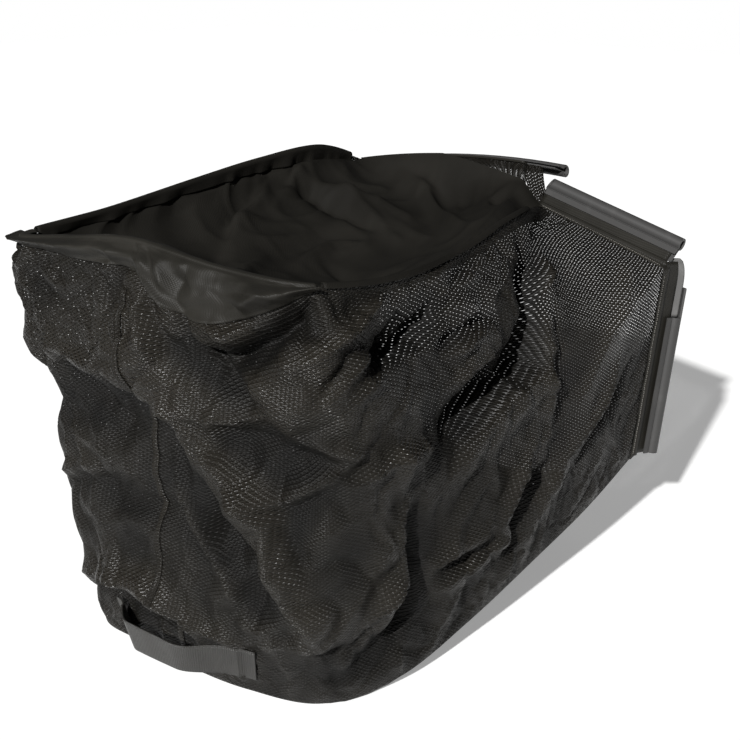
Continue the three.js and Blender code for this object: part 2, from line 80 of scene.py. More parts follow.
# %% Value and Finish
class Value:
    def __init__(self, finish, socket):
        self.finish = finish
        self.socket = socket

    def _math(self, operation, a, b):
        return self.finish.node("ShaderNodeMath", {"operation": operation}, {0: a, 1: b})

    def __add__(self, other):
        return self._math("ADD", self, other)

    __radd__ = __add__

    def __sub__(self, other):
        return self._math("SUBTRACT", self, other)

    def __rsub__(self, other):
        return self._math("SUBTRACT", other, self)

    def __mul__(self, other):
        return self._math("MULTIPLY", self, other)

    __rmul__ = __mul__

    def power(self, exponent):
        return self._math("POWER", self, exponent)

    def least(self, other):
        return self._math("MINIMUM", self, other)

    def most(self, other):
        return self._math("MAXIMUM", self, other)

    def wave(self):
        return self._math("SINE", self, 0.0)

    def between(self, low, high):
        """0 below low, 1 above high, smooth between them"""
        settings = {"interpolation_type": "SMOOTHSTEP"}
        sockets = {"Value": self, "From Min": low, "From Max": high}
        return self.finish.node("ShaderNodeMapRange", settings, sockets)


class Finish:
    def __init__(self, name, roughness, specular):
        self.material = bpy.data.materials.new(name)
        self.material.use_nodes = True
        self.tree = self.material.node_tree
        self.shader = self.tree.nodes["Principled BSDF"]
        self.shader.inputs["Roughness"].default_value = roughness
        self.shader.inputs["Specular IOR Level"].default_value = specular

    def node(self, kind, settings=None, sockets=None, output=0):
        made = self.tree.nodes.new(kind)
        for key, choice in (settings or {}).items():
            setattr(made, key, choice)
        for key, given in (sockets or {}).items():
            if isinstance(given, Value):
                self.tree.links.new(given.socket, made.inputs[key])
            else:
                made.inputs[key].default_value = given
        return Value(self, made.outputs[output])

    def feed(self, socket, value):
        self.tree.links.new(value.socket, self.shader.inputs[socket])

    def place(self):
        """Where on the piece: object coordinates, in metres"""
        return self.node("ShaderNodeTexCoord", output="Object")

    def cloth_place(self):
        """Where on the cloth: its own UV map, in metres of cloth"""
        return self.node("ShaderNodeUVMap", {"uv_map": "cloth"})

    def scaled(self, vector, by):
        return self.node("ShaderNodeMapping", {}, {"Vector": vector, "Scale": by})

    def split(self, vector):
        made = self.tree.nodes.new("ShaderNodeSeparateXYZ")
        self.tree.links.new(vector.socket, made.inputs[0])
        return [Value(self, out) for out in made.outputs]

    def cloud(self, vector, scale, detail):
        sockets = {"Vector": vector, "Scale": scale, "Detail": detail, "Roughness": 0.55}
        return self.node("ShaderNodeTexNoise", {"noise_dimensions": "3D"}, sockets)

    def blend(self, share, first, second):
        settings = {"data_type": "RGBA"}
        return self.node("ShaderNodeMix", settings, {0: share, 6: first, 7: second}, output=2)

    def shade(self, share, tone, dark, light):
        """Base Color from dark times the tone to light times the tone"""
        first, second = (rgb(*[c * by for c in tone]) for by in (dark, light))
        self.feed("Base Color", self.blend(share, first, second))

    def bumps(self, height, distance, strength):
        sockets = {"Height": height, "Distance": distance, "Strength": strength}
        self.feed("Normal", self.node("ShaderNodeBump", {}, sockets))


def rgb(red, green, blue):
    return (red, green, blue, 1.0)


# %% Floor, backdrop and lamps
FLOOR_HALF = 6.0
FLOOR_LIFT = 0.30
FLOOR_TO_LIGHT, FLOOR_TO_CAMERA = rgb(0.34, 0.34, 0.335), rgb(0.88, 0.88, 0.87)
WHITE = rgb(1.0, 1.0, 1.0)


def lay_floor():
    maker = bmesh.new()
    bmesh.ops.create_grid(maker, x_segments=1, y_segments=1, size=FLOOR_HALF)
    mesh = bpy.data.meshes.new("floor")
    maker.to_mesh(mesh)
    maker.free()
    floor = bpy.data.objects.new("floor", mesh)
    bpy.context.collection.objects.link(floor)
    paint = Finish("pale_floor", roughness=0.9, specular=0.1)
    seen = [paint.node("ShaderNodeLightPath", output=f"Is {kind} Ray")
            for kind in ("Camera", "Glossy", "Transmission")]
    direct = seen[0].most(seen[1]).most(seen[2])
    paint.shader.inputs["Emission Color"].default_value = WHITE
    paint.feed("Emission Strength", direct * FLOOR_LIFT)
    paint.feed("Base Color", paint.blend(direct, FLOOR_TO_LIGHT, FLOOR_TO_CAMERA))
    mesh.materials.append(paint.material)


def light_world(strength):
    world = bpy.data.worlds.new("studio")
    bpy.context.scene.world = world
    world.use_nodes = True
    tree = world.node_tree
    soft, white = tree.nodes["Background"], tree.nodes.new("ShaderNodeBackground")
    for background, power in ((soft, strength), (white, 1.0)):
        background.inputs["Color"].default_value = WHITE
        background.inputs["Strength"].default_value = power
    path = tree.nodes.new("ShaderNodeLightPath")
    mix = tree.nodes.new("ShaderNodeMixShader")
    tree.links.new(path.outputs["Is Camera Ray"], mix.inputs[0])
    tree.links.new(soft.outputs[0], mix.inputs[1])
    tree.links.new(white.outputs[0], mix.inputs[2])
    tree.links.new(mix.outputs[0], tree.nodes["World Output"].inputs["Surface"])


def shine_sun(name, towards, strength, softness):
    data = bpy.data.lights.new(name, "SUN")
    data.energy = strength
    data.angle = math.radians(softness)
    lamp = bpy.data.objects.new(name, data)
    lamp.rotation_euler = Vector(towards).to_track_quat("-Z", "Y").to_euler()
    bpy.context.collection.objects.link(lamp)


lay_floor()
light_world(0.075)
shine_sun("key", (0.830, 0.325, -0.454), 5.6, 1.6)
bpy.context.scene.view_settings.view_transform = "Standard"
print("stage set")

# %% [markdown]
# ## The shape of the walls
# The bag was sewn from flat cloth, but it stands as a soft loft. Five guide curves run from the
# near side of the mouth, round the rear, to the far side, and the walls are lofted through them.
# They are the same guides as the solids have, so cloth and solid lie in one place. `u` counts
# along a guide, 0 to 14, and `v` counts the guides from the floor seam to the rim, 0 to 4.

# %% Sizes and guides
LENGTH, WIDTH, HEIGHT = 0.515, 0.412, 0.397
ORIGIN = np.array([-0.26029, 0.00039, 0.0])
REAR_SEAM, FAR_MOUTH, TOP = 7.0, 14.0, 4.0
GUIDES = np.array([
    [[0.975, -0.910, 0.305], [0.812, -0.905, 0.222], [0.630, -0.900, 0.155], [0.432, -0.890, 0.086],
     [0.250, -0.850, 0.028], [0.115, -0.700, 0.007], [0.068, -0.360, 0.006], [0.060, 0.000, 0.006],
     [0.070, 0.360, 0.006], [0.098, 0.665, 0.007], [0.250, 0.840, 0.028], [0.432, 0.890, 0.086],
     [0.630, 0.900, 0.155], [0.812, 0.905, 0.222], [0.985, 0.910, 0.307]],
    [[0.994, -0.951, 0.570], [0.830, -0.961, 0.485], [0.650, -0.951, 0.405], [0.451, -0.938, 0.350],
     [0.240, -0.912, 0.300], [0.067, -0.835, 0.280], [0.022, -0.437, 0.270], [0.012, 0.000, 0.270],
     [0.024, 0.437, 0.270], [0.078, 0.775, 0.280], [0.240, 0.912, 0.300], [0.451, 0.938, 0.350],
     [0.650, 0.951, 0.405], [0.830, 0.961, 0.465], [0.990, 0.933, 0.520]],
    [[1.012, -0.990, 0.820], [0.825, -0.985, 0.725], [0.653, -0.951, 0.668], [0.451, -0.951, 0.642],
     [0.240, -0.951, 0.617], [0.048, -0.893, 0.605], [0.000, -0.461, 0.605], [-0.010, 0.000, 0.617],
     [0.000, 0.461, 0.610], [0.050, 0.775, 0.620], [0.240, 0.930, 0.640], [0.451, 0.960, 0.650],
     [0.653, 0.965, 0.665], [0.825, 0.985, 0.700], [0.994, 0.956, 0.730]],
    [[1.006, -0.617, 0.877], [0.825, -0.728, 0.862], [0.653, -0.835, 0.850], [0.451, -0.913, 0.844],
     [0.240, -0.932, 0.831], [0.035, -0.903, 0.844], [-0.023, -0.461, 0.844], [-0.035, 0.000, 0.869],
     [-0.025, 0.461, 0.865], [0.015, 0.890, 0.850], [0.240, 0.940, 0.860], [0.451, 0.965, 0.870],
     [0.653, 0.965, 0.865], [0.825, 0.980, 0.850], [0.997, 0.970, 0.865]],
    [[1.000, -0.243, 0.934], [0.835, -0.445, 0.965], [0.653, -0.621, 0.977], [0.451, -0.777, 0.967],
     [0.240, -0.864, 0.962], [0.042, -0.835, 0.987], [-0.004, -0.461, 1.003], [-0.023, 0.000, 1.033],
     [-0.012, 0.461, 1.005], [0.027, 0.880, 0.975], [0.240, 0.915, 0.990], [0.451, 0.925, 1.020],
     [0.653, 0.940, 1.045], [0.855, 0.965, 1.052], [1.000, 0.985, 1.000]],
]) * (LENGTH, WIDTH / 2, HEIGHT)
GUIDES = GUIDES + ORIGIN
print("guides:", GUIDES.shape[0], "of", GUIDES.shape[1], "points")


# %% The loft
def curve_weights(place, count):
    """For each place on a smooth curve through count points: four points and their weights"""
    i = np.clip(np.floor(place).astype(int), 0, count - 2)
    t = place - i
    points = np.stack([np.maximum(i - 1, 0), i, i + 1, np.minimum(i + 2, count - 1)], -1)
    weights = np.stack([-0.5 * t + t ** 2 - 0.5 * t ** 3, 1 - 2.5 * t ** 2 + 1.5 * t ** 3,
                        0.5 * t + 2 * t ** 2 - 1.5 * t ** 3, -0.5 * t ** 2 + 0.5 * t ** 3], -1)
    return points, weights


def smooth(start, end, value):
    t = np.clip((value - start) / (end - start), 0, 1)
    return t * t * (3 - 2 * t)


def loft(u, v):
    along, share = curve_weights(u, GUIDES.shape[1])
    columns = np.einsum("gmkc,mk->mgc", GUIDES[:, along], share)
    rows, weight = curve_weights(v, GUIDES.shape[0])
    each = np.arange(len(u))[:, None]
    rounded = np.einsum("mkc,mk->mc", columns[each, rows], weight)
    i = np.clip(np.floor(v).astype(int), 0, GUIDES.shape[0] - 2)
    t = (v - i)[:, None]
    straight = columns[each[:, 0], i] * (1 - t) + columns[each[:, 0], i + 1] * t
    share = smooth(0, 0.8, np.minimum(u, FAR_MOUTH - u))[:, None]
    return straight * (1 - share) + rounded * share


# %% [markdown]
# ## Folds
# Cloth shows what it is by its folds. Each one is a stroke over the wall: from and to, in `u` and
# `v`, then its half width and its height in millimetres. A ridge stands out and a valley has a
# height below zero. The large folds are those of the solids. The fine ones are added for the eye.

# %% Large folds
LARGE_FOLDS = [
    (8.6, 2.5, 7.2, 2.6, 30, 7), (7.2, 2.6, 5.5, 2.6, 32, 8), (5.5, 2.6, 4.3, 2.35, 28, 6),
    (8.5, 2.0, 7.2, 2.1, 26, -7), (7.2, 2.1, 5.6, 2.15, 26, -9), (5.6, 2.15, 4.4, 1.95, 26, -6),
    (6.45, 2.8, 5.75, 2.5, 16, -11), (6.15, 2.88, 5.8, 2.92, 16, -8), (5.8, 2.92, 5.15, 3.3, 16, -9),
    (6.5, 3.15, 5.8, 3.1, 16, 7), (6.85, 3.5, 6.8, 2.7, 20, 8), (5.3, 3.1, 4.9, 2.8, 20, 7),
    (6.5, 2.1, 5.75, 1.65, 20, 9), (5.75, 1.65, 5.1, 0.9, 18, 7), (6.75, 1.9, 6.2, 1.35, 20, -9),
    (6.2, 1.35, 5.5, 0.8, 18, -7), (7.6, 1.45, 6.9, 1.5, 16, -5),
    (7.9, 0.85, 7.2, 0.8, 16, 7), (7.2, 0.8, 6.6, 0.65, 16, 6),
    (4.45, 3.05, 3.95, 3.15, 20, -12), (3.75, 1.95, 2.55, 2.3, 24, -15), (3.3, 1.62, 2.25, 1.85, 16, 8),
    (0.4, 3.8, 2.15, 3.1, 16, -10), (2.15, 3.1, 2.4, 2.2, 18, -15), (1.85, 3.0, 2.0, 2.2, 16, 6),
    (0.5, 2.4, 2.0, 0.84, 16, 5), (2.0, 0.84, 2.5, 0.36, 16, 5), (2.3, 0.95, 2.45, 0.48, 16, -5),
    (4.15, 1.6, 4.0, 0.6, 16, -9), (4.4, 1.5, 4.25, 0.7, 16, 6), (4.15, 0.9, 4.7, 0.5, 16, 7),
    (4.2, 0.6, 4.8, 0.3, 16, -7),
    (9.6, 2.6, 11.0, 2.4, 30, 10), (9.6, 2.1, 11.2, 1.9, 26, -9), (10.5, 3.2, 11.6, 2.9, 22, -10),
    (11.6, 2.9, 11.9, 2.0, 20, -9), (10.0, 1.5, 10.2, 0.6, 18, -8), (12.2, 2.2, 11.4, 0.8, 16, 6),
    (9.5, 3.3, 9.9, 2.9, 20, 7),
]

# %% [markdown]
# The fine folds are lines of several points, because a pleat bends on its way. Each has a sharp
# crest, as a crease in dry cloth has, and fades out at its two ends.

# %% Fine folds
FINE_FOLDS = [
    ([(7.22, 2.36), (6.47, 2.3), (5.87, 2.33), (5.48, 2.48)], 14, 7),
    ([(6.53, 2.3), (6.17, 2.0), (5.81, 1.76), (5.54, 1.61), (5.51, 1.31), (5.33, 1.01),
      (5.06, 0.74)], 13, 8),
    ([(6.32, 1.76), (6.23, 1.4), (5.81, 1.31), (5.78, 0.98)], 10, -6),
    ([(6.8, 1.85), (6.59, 1.55), (6.35, 1.28), (6.14, 1.13), (5.96, 0.95)], 9, 6),
    ([(6.86, 1.7), (6.71, 1.43), (6.44, 1.19)], 9, -4),
    ([(5.66, 1.76), (5.48, 1.76), (5.09, 1.91), (4.79, 2.0)], 9, 6),
    ([(5.6, 1.7), (5.39, 1.7), (5.03, 1.82)], 9, -5),
    ([(5.48, 1.58), (5.39, 1.49), (5.27, 1.28)], 12, -7),
    ([(4.76, 1.85), (4.28, 1.94), (3.8, 1.88), (3.44, 1.97)], 12, 8),
    ([(3.65, 1.88), (3.26, 1.94), (2.42, 2.12)], 13, -12),
    ([(3.17, 1.76), (2.75, 1.91), (2.36, 1.94)], 8, 7),
    ([(4.25, 1.97), (4.1, 1.55), (4.16, 1.43), (4.16, 1.04), (4.52, 0.77), (4.79, 0.56)], 12, 7),
    ([(3.98, 1.4), (3.89, 1.01), (4.01, 0.5)], 11, -9),
    ([(4.37, 0.83), (4.7, 0.59), (5.06, 0.59)], 9, -6),
    ([(3.65, 0.92), (2.96, 0.86)], 8, 5),
    ([(3.62, 0.68), (2.54, 0.68)], 8, 5),
    ([(3.59, 0.83), (2.99, 0.74)], 8, -5),
    ([(2.51, 0.56), (2.42, 0.92), (2.09, 1.01)], 11, -8),
    ([(2.78, 0.86), (2.63, 1.16), (2.36, 1.4)], 9, 5),
    ([(4.34, 2.87), (3.95, 3.05), (3.77, 3.2), (3.68, 3.41)], 12, -12),
    ([(4.79, 2.57), (4.19, 2.87), (3.89, 3.2)], 10, 7),
    ([(3.59, 2.66), (3.11, 2.75)], 8, 5),
    ([(3.68, 2.84), (3.26, 2.93), (2.81, 2.84)], 8, -5),
    ([(3.5, 2.36), (2.96, 2.45)], 8, 5),
    ([(6.32, 3.26), (6.23, 2.96), (5.96, 2.69), (5.6, 2.48)], 11, -9),
    ([(6.14, 3.02), (5.87, 2.9), (5.54, 3.14), (5.24, 3.41), (5.03, 3.68)], 10, -10),
    ([(6.02, 3.2), (5.81, 3.17), (5.6, 3.29)], 12, 7),
    ([(6.26, 3.2), (6.17, 3.05), (5.99, 2.96), (5.78, 2.96)], 8, 5),
    ([(5.21, 2.96), (4.7, 3.29), (4.31, 3.65)], 9, 6),
    ([(4.46, 2.81), (4.19, 2.93), (4.07, 3.35)], 9, -9),
    ([(8.3, 2.33), (7.7, 2.18), (7.49, 2.06), (7.37, 2.0)], 10, -6),
    ([(8.24, 2.54), (7.55, 2.48), (7.13, 2.48)], 10, 5),
    ([(6.98, 3.47), (7.07, 3.14), (7.01, 2.78), (7.04, 2.51)], 7, 4),
    ([(6.77, 3.47), (6.65, 3.2), (6.53, 2.93)], 7, -4),
    ([(6.71, 3.53), (6.53, 3.35), (6.35, 3.29)], 7, 4),
    ([(6.74, 3.44), (6.77, 3.08), (6.65, 2.72)], 7, 4),
    ([(7.43, 1.4), (6.98, 1.46), (6.62, 1.52)], 8, -5),
    ([(8.78, 1.4), (8.09, 1.58), (7.58, 1.61)], 8, 4),
    ([(8.81, 1.28), (8.0, 1.49), (7.61, 1.49)], 8, -4),
    ([(8.33, 1.82), (7.85, 1.76), (7.58, 1.73)], 8, 4),
    ([(8.81, 0.59), (7.85, 0.8), (7.19, 0.89), (6.56, 0.65), (6.11, 0.59)], 8, 6),
    ([(8.84, 0.44), (7.46, 0.65), (6.8, 0.41)], 8, -5),
    ([(6.02, 0.8), (5.75, 0.77), (5.51, 0.86)], 8, 5),
    ([(5.9, 0.62), (5.57, 0.68), (5.18, 0.68)], 8, 4),
    ([(0.92, 1.61), (1.19, 1.22), (1.82, 1.01)], 9, 5),
    ([(0.59, 1.28), (0.86, 0.92), (1.46, 0.77)], 8, -4),
    ([(2.06, 2.63), (2.21, 1.88), (2.15, 1.4)], 8, 4),
    ([(1.88, 2.69), (1.97, 1.88), (2.0, 1.43)], 8, -4),
    ([(0.29, 1.97), (1.1, 1.94), (1.64, 1.46)], 7, 4),
    ([(1.76, 3.56), (2.18, 2.87), (2.3, 2.36), (2.45, 2.15)], 12, -12),
    ([(1.16, 3.5), (2.09, 2.81), (2.21, 2.27)], 7, 5),
    ([(5.27, 2.24), (4.97, 2.15), (4.52, 2.06)], 7, 4),
    ([(5.33, 2.09), (4.85, 2.03)], 8, -4),
    ([(5.0, 2.66), (4.82, 2.81), (4.49, 3.02)], 8, 5),
    ([(5.09, 2.63), (4.91, 2.84), (4.73, 3.08)], 8, -5),
]
FINE_RISE = 2.4


def strokes(folds, u, v):
    height = np.zeros_like(u)
    for u0, v0, u1, v1, width, rise in folds:
        du, dv = u1 - u0, v1 - v0
        t = np.clip(((u - u0) * du + (v - v0) * dv) / (du * du + dv * dv), 0, 1)
        away = 100 * np.hypot(u - u0 - t * du, v - v0 - t * dv) / width
        height += rise / 1000 * np.exp(-away ** 2)
    return height


def creases(folds, x, y, span=(1.0, 1.0), crest=1.3):
    """x and y times span are steps of 100 mm. Widths and heights are in millimetres."""
    height = np.zeros_like(x)
    x, y = x * span[0], y * span[1]
    for points, width, rise in folds:
        line = np.array(points) * span
        reach = np.concatenate([[0], np.cumsum(np.linalg.norm(np.diff(line, axis=0), axis=1))])
        nearest, along = np.full_like(x, 99.0), np.zeros_like(x)
        for (x0, y0), (x1, y1), behind in zip(line, line[1:], reach):
            dx, dy = x1 - x0, y1 - y0
            t = np.clip(((x - x0) * dx + (y - y0) * dy) / (dx * dx + dy * dy), 0, 1)
            away = np.hypot(x - x0 - t * dx, y - y0 - t * dy)
            along = np.where(away < nearest, behind + t * math.hypot(dx, dy), along)
            nearest = np.minimum(nearest, away)
        fade = np.sin(np.pi * (0.06 + 0.88 * along / reach[-1])) ** 0.6
        height += rise / 1000 * fade * np.exp(-(100 * nearest / width) ** crest)
    return height


# %% [markdown]
# Between the folds that can be named, cloth that was folded up in a box has small crumples.
# They are made from a smooth noise: where it crosses zero, a crest runs.

# %% Crumples
LARGE_CRUMPLE, LARGE_CRUMPLE_RISE = 62, 0.0030
SMALL_CRUMPLE, SMALL_CRUMPLE_RISE = 38, 0.0024
SLOPES = np.random.default_rng(11).normal(size=(64, 64, 2))
SLOPES = SLOPES / np.linalg.norm(SLOPES, axis=-1, keepdims=True)


def rolling(x, y, shift):
    """Smooth noise from about -0.7 to 0.7, with one hill or hollow per step"""
    x, y = x + 17.3 * shift, y + 5.7 * shift
    i, j = np.floor(x).astype(int), np.floor(y).astype(int)
    fx, fy = x - i, y - j
    ease_x, ease_y = fx ** 3 * (fx * (fx * 6 - 15) + 10), fy ** 3 * (fy * (fy * 6 - 15) + 10)

    def corner(di, dj):
        slope = SLOPES[(i + di) % 64, (j + dj) % 64]
        return slope[..., 0] * (fx - di) + slope[..., 1] * (fy - dj)

    low = corner(0, 0) * (1 - ease_x) + corner(1, 0) * ease_x
    high = corner(0, 1) * (1 - ease_x) + corner(1, 1) * ease_x
    return low * (1 - ease_y) + high * ease_y


def crumples(x, y, size, shift):
    """x and y in steps of 100 mm, size in millimetres: crests of 1 and hollows down to -1"""
    x, y = x * 100 / size, y * 100 / size
    bend = rolling(x * 0.5, y * 0.5, shift + 3)
    crest = 1 - 4 * np.abs(rolling(x + bend, y - bend, shift)) ** 0.8
    return np.clip(crest, -1, 1)


def fold_height(u, v):
    """Held flat along the seams, and pulled straighter towards the near side of the mouth"""
    held = smooth(0, 0.3, np.minimum(u, FAR_MOUTH - u)) * smooth(0, 0.3, v) * smooth(TOP, TOP - 0.3, v)
    slack = 1 - 0.75 * smooth(2.6, 1.6, u) * smooth(1.0, 2.0, v + 0.9 * u)
    small = LARGE_CRUMPLE_RISE * crumples(u, 0.9 * v, LARGE_CRUMPLE, 1)
    small = small - SMALL_CRUMPLE_RISE * crumples(u, 0.9 * v, SMALL_CRUMPLE, 2)
    taut = smooth(1.9, 1.3, u) * smooth(1.2, 2.0, v)
    fine = FINE_RISE * creases(FINE_FOLDS, u, v) * (1 - 0.6 * taut)
    return (strokes(LARGE_FOLDS, u, v) + fine + small * slack) * held


def outward(surface, u, v, step=0.01):
    along = surface(u + step, v) - surface(u - step, v)
    up = surface(u, v + step) - surface(u, v - step)
    normal = np.cross(up, along)
    return normal / np.linalg.norm(normal, axis=1, keepdims=True)


def wall(u, v, off=0.0):
    u, v = np.broadcast_arrays(np.asarray(u, float), np.asarray(v, float))
    shape = u.shape
    u, v = u.ravel(), v.ravel()
    away = fold_height(u, v) + np.broadcast_to(off, shape).ravel()
    points = loft(u, v) + outward(loft, u, v) * away[:, None]
    return points.reshape(*shape, 3)


sample = wall(np.array([7.0, 3.0]), np.array([2.0, 2.0]))
print("rear and near side points:", np.round(sample, 3).tolist())
near_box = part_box("mesh_wall_near")
print("the solid near wall spans", [[round(c, 3) for c in corner] for corner in near_box])


# %% [markdown]
# ## From a grid to a piece of cloth
# A piece of cloth starts as a flat grid made by one operator. Its points are then moved to where
# the shape says. Its UV map is measured along the threads in metres of cloth, so that a weave
# has its true size anywhere on the piece and follows every fold.

# %% Cloth maker
INSIDE = Vector((0.0, 0.0, 0.22))


def arc_lengths(points, axis):
    step = np.linalg.norm(np.diff(points, axis=axis), axis=-1)
    start = np.zeros_like(np.take(step, [0], axis=axis))
    return np.cumsum(np.concatenate([start, step], axis=axis), axis=axis)


def finish_mesh(name, maker, finish):
    mesh = bpy.data.meshes.new(name)
    for face in maker.faces:
        face.smooth = True
    maker.to_mesh(mesh)
    maker.free()
    piece = bpy.data.objects.new(name, mesh)
    bpy.context.collection.objects.link(piece)
    mesh.materials.append(finish.material)
    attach(piece, "root")
    return piece


def grid_order(mesh):
    """Each point's own s and t, as kept when the grid was made"""
    values = np.zeros(len(mesh.vertices) * 3, np.float32)
    mesh.attributes["st"].data.foreach_get("vector", values)
    return values.reshape(-1, 3)[:, :2].astype(float)


def cloth_piece(name, columns, rows, place, finish, thickness=0.0, weave=None):
    """place(s, t) gives points for s across the columns and t up the rows, each 0 to 1"""
    maker = bmesh.new()
    bmesh.ops.create_grid(maker, x_segments=columns, y_segments=rows, size=0.5)
    maker.verts.ensure_lookup_table()
    flat = np.array([v.co[:2] for v in maker.verts]) + 0.5
    s, t = flat[:, 0], flat[:, 1]
    order = np.lexsort((np.round(s, 6), np.round(t, 6)))
    s, t = (axis[order].reshape(rows + 1, columns + 1) for axis in (s, t))
    grid = place(s, t)
    if weave:
        threads = weave(s, t)
    else:
        threads = np.stack([arc_lengths(grid, 1), arc_lengths(grid, 0)], -1)
    threads = threads.reshape(-1, 2)
    points = grid.reshape(-1, 3)
    place_of = np.empty(len(order), int)
    place_of[order] = np.arange(len(order))
    for vert in maker.verts:
        vert.co = points[place_of[vert.index]]
    grid_place = maker.verts.layers.float_vector.new("st")
    for vert, place_st in zip(maker.verts, flat):
        vert[grid_place] = (*place_st, 0.0)
    layer = maker.loops.layers.uv.new("cloth")
    for face in maker.faces:
        for loop in face.loops:
            loop[layer].uv = threads[place_of[loop.vert.index]]
    maker.normal_update()
    leaning = sum(f.normal.dot(f.calc_center_median() - INSIDE) * f.calc_area() for f in maker.faces)
    if leaning < 0:
        bmesh.ops.reverse_faces(maker, faces=maker.faces)
    if thickness:
        bmesh.ops.solidify(maker, geom=list(maker.faces), thickness=thickness)
    piece = finish_mesh(name, maker, finish)
    area = sum(f.area for f in piece.data.polygons)
    print(name, len(piece.data.polygons), "faces", round(area, 4), "m2",
          "grid", np.round(threads.max(axis=0), 3).tolist(), "m")
    return piece


# %% [markdown]
# ## Letting the cloth settle
# Drawn folds alone look drawn. So the cloth is given a little spare size and a few frames of
# cloth simulation, in which it buckles into wrinkles of its own between the drawn ones. It is
# held fast along its seams and loosely elsewhere, and no point may leave its place by more than
# a few millimetres, so it stays clear of its neighbours. The result is written into the mesh.

# %% Settling
SETTLE_FRAMES = 12
SPARE_CLOTH, BEND_STIFFNESS, MOST_MOVED = 0.035, 2.0, 0.007


def settle(piece, held):
    mesh = piece.data
    start = np.zeros(len(mesh.vertices) * 3)
    mesh.vertices.foreach_get("co", start)
    group = piece.vertex_groups.new(name="held")
    for index, weight in enumerate(held):
        group.add([index], float(weight), "REPLACE")
    cloth = piece.modifiers.new("settle", "CLOTH")
    cloth.settings.vertex_group_mass = group.name
    cloth.settings.quality = 4
    cloth.settings.mass = 0.2
    cloth.settings.tension_stiffness = cloth.settings.compression_stiffness = 12
    cloth.settings.shear_stiffness = 6
    cloth.settings.bending_stiffness = BEND_STIFFNESS
    cloth.settings.shrink_min = -SPARE_CLOTH
    cloth.settings.effector_weights.gravity = 0.2
    cloth.collision_settings.use_collision = False
    cloth.point_cache.frame_start, cloth.point_cache.frame_end = 1, SETTLE_FRAMES
    for number in range(1, SETTLE_FRAMES + 1):
        bpy.context.scene.frame_set(number)
    settled = piece.evaluated_get(bpy.context.evaluated_depsgraph_get())
    end = np.zeros_like(start)
    settled.data.vertices.foreach_get("co", end)
    piece.modifiers.remove(cloth)
    piece.vertex_groups.remove(group)
    bpy.context.scene.frame_set(1)
    move = (end - start).reshape(-1, 3)
    size = np.linalg.norm(move, axis=1)
    move = move * (MOST_MOVED * np.tanh(size / MOST_MOVED) / np.maximum(size, 1e-9))[:, None]
    mesh.vertices.foreach_set("co", start + move.ravel())
    mesh.update()
    usual, most = 1000 * float(np.percentile(size, 95)), 1000 * float(size.max())
    print(piece.name, "was pushed", round(usual, 1), "mm, at most", round(most, 1), "before the limit")


# %% [markdown]
# ## Cloth finishes
# The mesh is a black knit with rows of small slots. The slots are cut by Alpha, so light and the
# white floor show through where nothing lies behind. Two attributes of each point steer it:
# "tension" opens the slots, and "crest" paints shade into the hollows of the folds and light onto
# their crests, and makes the crests glossier. The woven cloth has a fine plain weave.

# %% Mesh and woven finishes
CELL_LONG, CELL_HIGH = 0.0068, 0.0033
SLOT_NARROW, SLOT_FLAT = 4.4, 5.4


def knit(name, tone, roughness):
    finish = Finish(name, roughness=roughness, specular=0.22)
    threads = finish.cloth_place()
    sway = finish.cloud(threads, 60.0, 1.0)
    cells = finish.scaled(threads, (1 / CELL_LONG, 1 / CELL_HIGH, 1.0))
    x, y, _ = finish.split(cells)
    x = x + (sway - 0.5) * 0.3

    def slot_at(shift):
        a = finish.node("ShaderNodeMath", {"operation": "FRACT"}, {0: x + shift})
        b = finish.node("ShaderNodeMath", {"operation": "FRACT"}, {0: y + shift})
        a, b = (a - 0.5) * SLOT_NARROW, (b - 0.5) * SLOT_FLAT
        return (a * a + b * b).power(0.5)

    slot = slot_at(0.0).least(slot_at(0.5))
    pull = finish.node("ShaderNodeAttribute", {"attribute_name": "tension"}, output="Fac")
    finish.feed("Alpha", (slot - pull).between(-0.2, 0.15))
    ribs = ((x * 4 + y * 4) * math.pi).wave() * 0.12 + ((x * 4 - y * 4) * math.pi).wave() * 0.12
    finish.bumps(slot.between(0.5, 1.9) + ribs, 0.0009, 1.0)
    wear = finish.cloud(finish.place(), 14.0, 4.0).between(0.35, 0.75)
    # crest paints shade into the hollows of the folds and light onto their crests; wear is random real
    # wear
    crest = finish.node("ShaderNodeAttribute", {"attribute_name": "crest"}, output="Fac")
    fold_shade_and_wear = crest * 0.75 + wear * 0.25
    # Base Color: a quarter of the tone as painted shade in the hollows, 2.3 times it as painted light on
    # the crests
    finish.shade(fold_shade_and_wear, tone, 0.25, 2.3)
    finish.feed("Roughness", roughness + 0.30 - fold_shade_and_wear * 0.42)
    return finish


def woven(name, tone, roughness, pitch=0.0012, specular=0.14):
    finish = Finish(name, roughness=roughness, specular=specular)
    threads = finish.cloth_place()
    x, y, _ = finish.split(finish.scaled(threads, (math.pi / pitch, math.pi / pitch, 1.0)))
    over = x.wave() * y.wave()
    slub = finish.cloud(finish.scaled(threads, (40.0, 900.0, 1.0)), 1.0, 2.0)
    finish.bumps(over * 0.5 + slub * 0.6, 0.0003, 0.6)
    faded = finish.cloud(finish.place(), 9.0, 4.0).between(0.35, 0.7)
    finish.shade(faded, tone, 0.8, 1.25)
    finish.feed("Roughness", roughness + (faded - 0.5) * 0.1)
    return finish


KNIT = knit("knitted_mesh", (0.0090, 0.0080, 0.0064), 0.32)
WOVEN = woven("woven_cloth", (0.0112, 0.0104, 0.0087), 0.68, specular=0.08)
# The band is the cover's own cloth. Its lighter tone is painted light from the sun on the rear; its extra
# gloss comes from roughness and specular.
LIT_BAND_WOVEN = woven("band_cloth_painted_lighter", (0.0170, 0.0158, 0.0130), 0.55, specular=0.18)
COATED = woven("coated_cloth", (0.014, 0.013, 0.011), 0.5, pitch=0.0016)
HEM = woven("hem_cloth", (0.014, 0.013, 0.0105), 0.5, pitch=0.0014, specular=0.2)
print("cloth finishes:", [made.material.name for made in (KNIT, WOVEN, LIT_BAND_WOVEN, COATED, HEM)])
